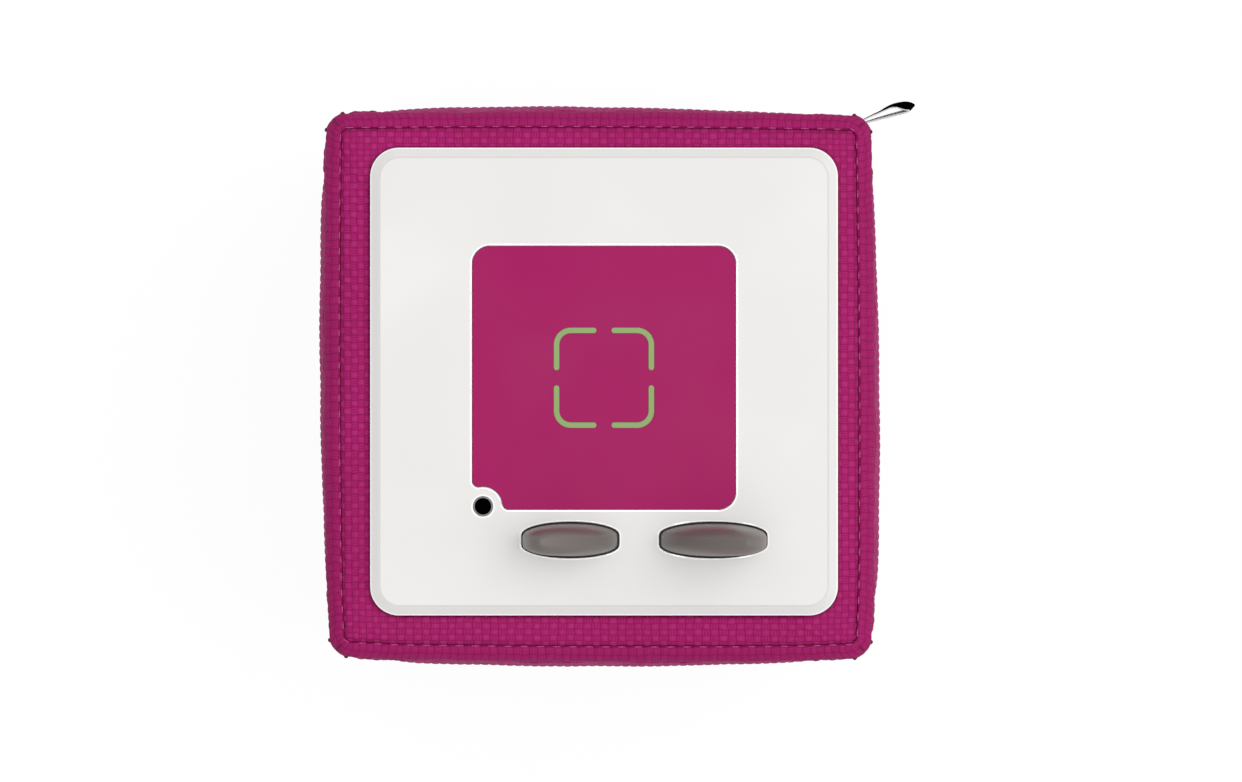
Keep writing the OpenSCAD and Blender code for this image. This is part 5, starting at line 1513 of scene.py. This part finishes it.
class STORY_OT_stage(StoryOperator, bpy.types.Operator):
    """Makes the floor, the lamps, the white surroundings and the camera"""

    bl_idname = "story.stage"
    bl_label = "Stage"

    def execute(self, context):
        settings = context.scene.story_stage
        self.add_floor(settings)
        self.add_lamps(settings)
        self.add_surroundings(context, settings)
        self.add_camera(context, settings)
        context.scene.view_settings.view_transform = "Standard"
        return {"FINISHED"}

    def mixed_for_lens(self, tree, lit, seen):
        """Mixes what lights the player with what shows straight, mirrored or through glass."""
        rays = tree.nodes.new("ShaderNodeLightPath")
        straight = maths(tree, "ADD", rays.outputs["Is Camera Ray"], rays.outputs["Is Glossy Ray"])
        to_lens = maths(tree, "ADD", straight, rays.outputs["Is Transmission Ray"], clamp=True)
        return add_node(tree, "ShaderNodeMixShader", i0=to_lens, i1=lit.outputs[0], i2=seen.outputs[0])

    def add_floor(self, settings):
        bm = bmesh.new()
        bmesh.ops.create_grid(bm, x_segments=1, y_segments=1, size=FLOOR_HALF)
        floor = from_bmesh("floor", bm)
        paint, tree, shader = start_material("Floor")
        shader.inputs["Base Color"].default_value = (*settings.floor, 1)
        shader.inputs["Roughness"].default_value = 0.9
        glow = add_node(tree, "ShaderNodeEmission", Color=(1, 1, 1, 1), Strength=FLOOR_GLOW)
        dim = add_node(tree, "ShaderNodeBsdfDiffuse", Color=(FLOOR_SHADE, FLOOR_SHADE, FLOOR_SHADE, 1))
        seen = add_node(tree, "ShaderNodeAddShader", i0=glow.outputs[0], i1=dim.outputs[0])
        mix = self.mixed_for_lens(tree, shader, seen)
        tree.links.new(mix.outputs[0], tree.nodes["Material Output"].inputs[0])
        floor.data.materials.append(paint)

    def add_lamps(self, settings):
        for name, strength, width, way in (
                ("key_lamp", settings.key_strength, settings.key_spread, KEY_WAY),
                ("top_lamp", settings.top_strength, TOP_SPREAD, TOP_WAY)):
            lamp = bpy.data.lights.new(name, "SUN")
            lamp.energy = strength
            lamp.angle = width
            obj = bpy.data.objects.new(name, lamp)
            obj.location = way
            obj.rotation_euler = (-Vector(way)).to_track_quat("-Z", "Y").to_euler()
            bpy.context.scene.collection.objects.link(obj)

    def add_surroundings(self, context, settings):
        world = bpy.data.worlds.new("White Studio")
        world.use_nodes = True
        tree = world.node_tree
        tree.nodes.clear()
        way = add_node(
            tree, "ShaderNodeSeparateXYZ", i0=tree.nodes.new("ShaderNodeTexCoord").outputs["Generated"])
        overhead = spread(tree, way.outputs[2], 0.0, 1.0, settings.sky_low, settings.sky_high)
        soft = add_node(tree, "ShaderNodeBackground", Color=(1, 1, 1, 1), Strength=overhead)
        white = add_node(tree, "ShaderNodeBackground", Color=(1, 1, 1, 1), Strength=1.0)
        mix = self.mixed_for_lens(tree, soft, white)
        output = tree.nodes.new("ShaderNodeOutputWorld")
        tree.links.new(mix.outputs[0], output.inputs[0])
        context.scene.world = world

    def add_camera(self, context, settings):
        camera = bpy.data.cameras.new("overhead_camera")
        camera.sensor_width = 36
        camera.lens = settings.focal_length
        camera.clip_end = 20
        obj = bpy.data.objects.new("overhead_camera", camera)
        obj.location = (settings.camera_x, settings.camera_y, settings.camera_height)
        context.scene.collection.objects.link(obj)
        context.scene.camera = obj


STEPS = (
    STORY_OT_materials, STORY_OT_inside, STORY_OT_shell, STORY_OT_ears, STORY_OT_cover, STORY_OT_strips,
    STORY_OT_label, STORY_OT_stage)


class STORY_PT_panel(bpy.types.Panel):
    """Lists what builds the story player"""

    bl_label = "Story Player"
    bl_idname = "STORY_PT_panel"
    bl_space_type = "VIEW_3D"
    bl_region_type = "UI"
    bl_category = "Story Player"

    def draw(self, context):
        for step in STEPS:
            self.layout.operator(step.bl_idname)
        for group in SETTINGS:
            box = self.layout.box()
            settings = getattr(context.scene, group)
            for key in SETTINGS[group].__annotations__:
                box.prop(settings, key)


SETTINGS = {
    "story_cover": CoverSettings, "story_label": LabelSettings, "story_shell": ShellSettings,
    "story_ears": EarSettings, "story_inside": InsideSettings, "story_stage": StageSettings,
}
CLASSES = (*SETTINGS.values(), *STEPS, STORY_PT_panel)


def register():
    for cls in CLASSES:
        bpy.utils.register_class(cls)
    for name, group in SETTINGS.items():
        setattr(bpy.types.Scene, name, PointerProperty(type=group))


def unregister():
    for name in SETTINGS:
        delattr(bpy.types.Scene, name)
    for cls in reversed(CLASSES):
        bpy.utils.unregister_class(cls)


def main():
    register()
    for step in STEPS:
        area, name = step.bl_idname.split(".")
        getattr(getattr(bpy.ops, area), name)()


if __name__ == "__main__":
    main()
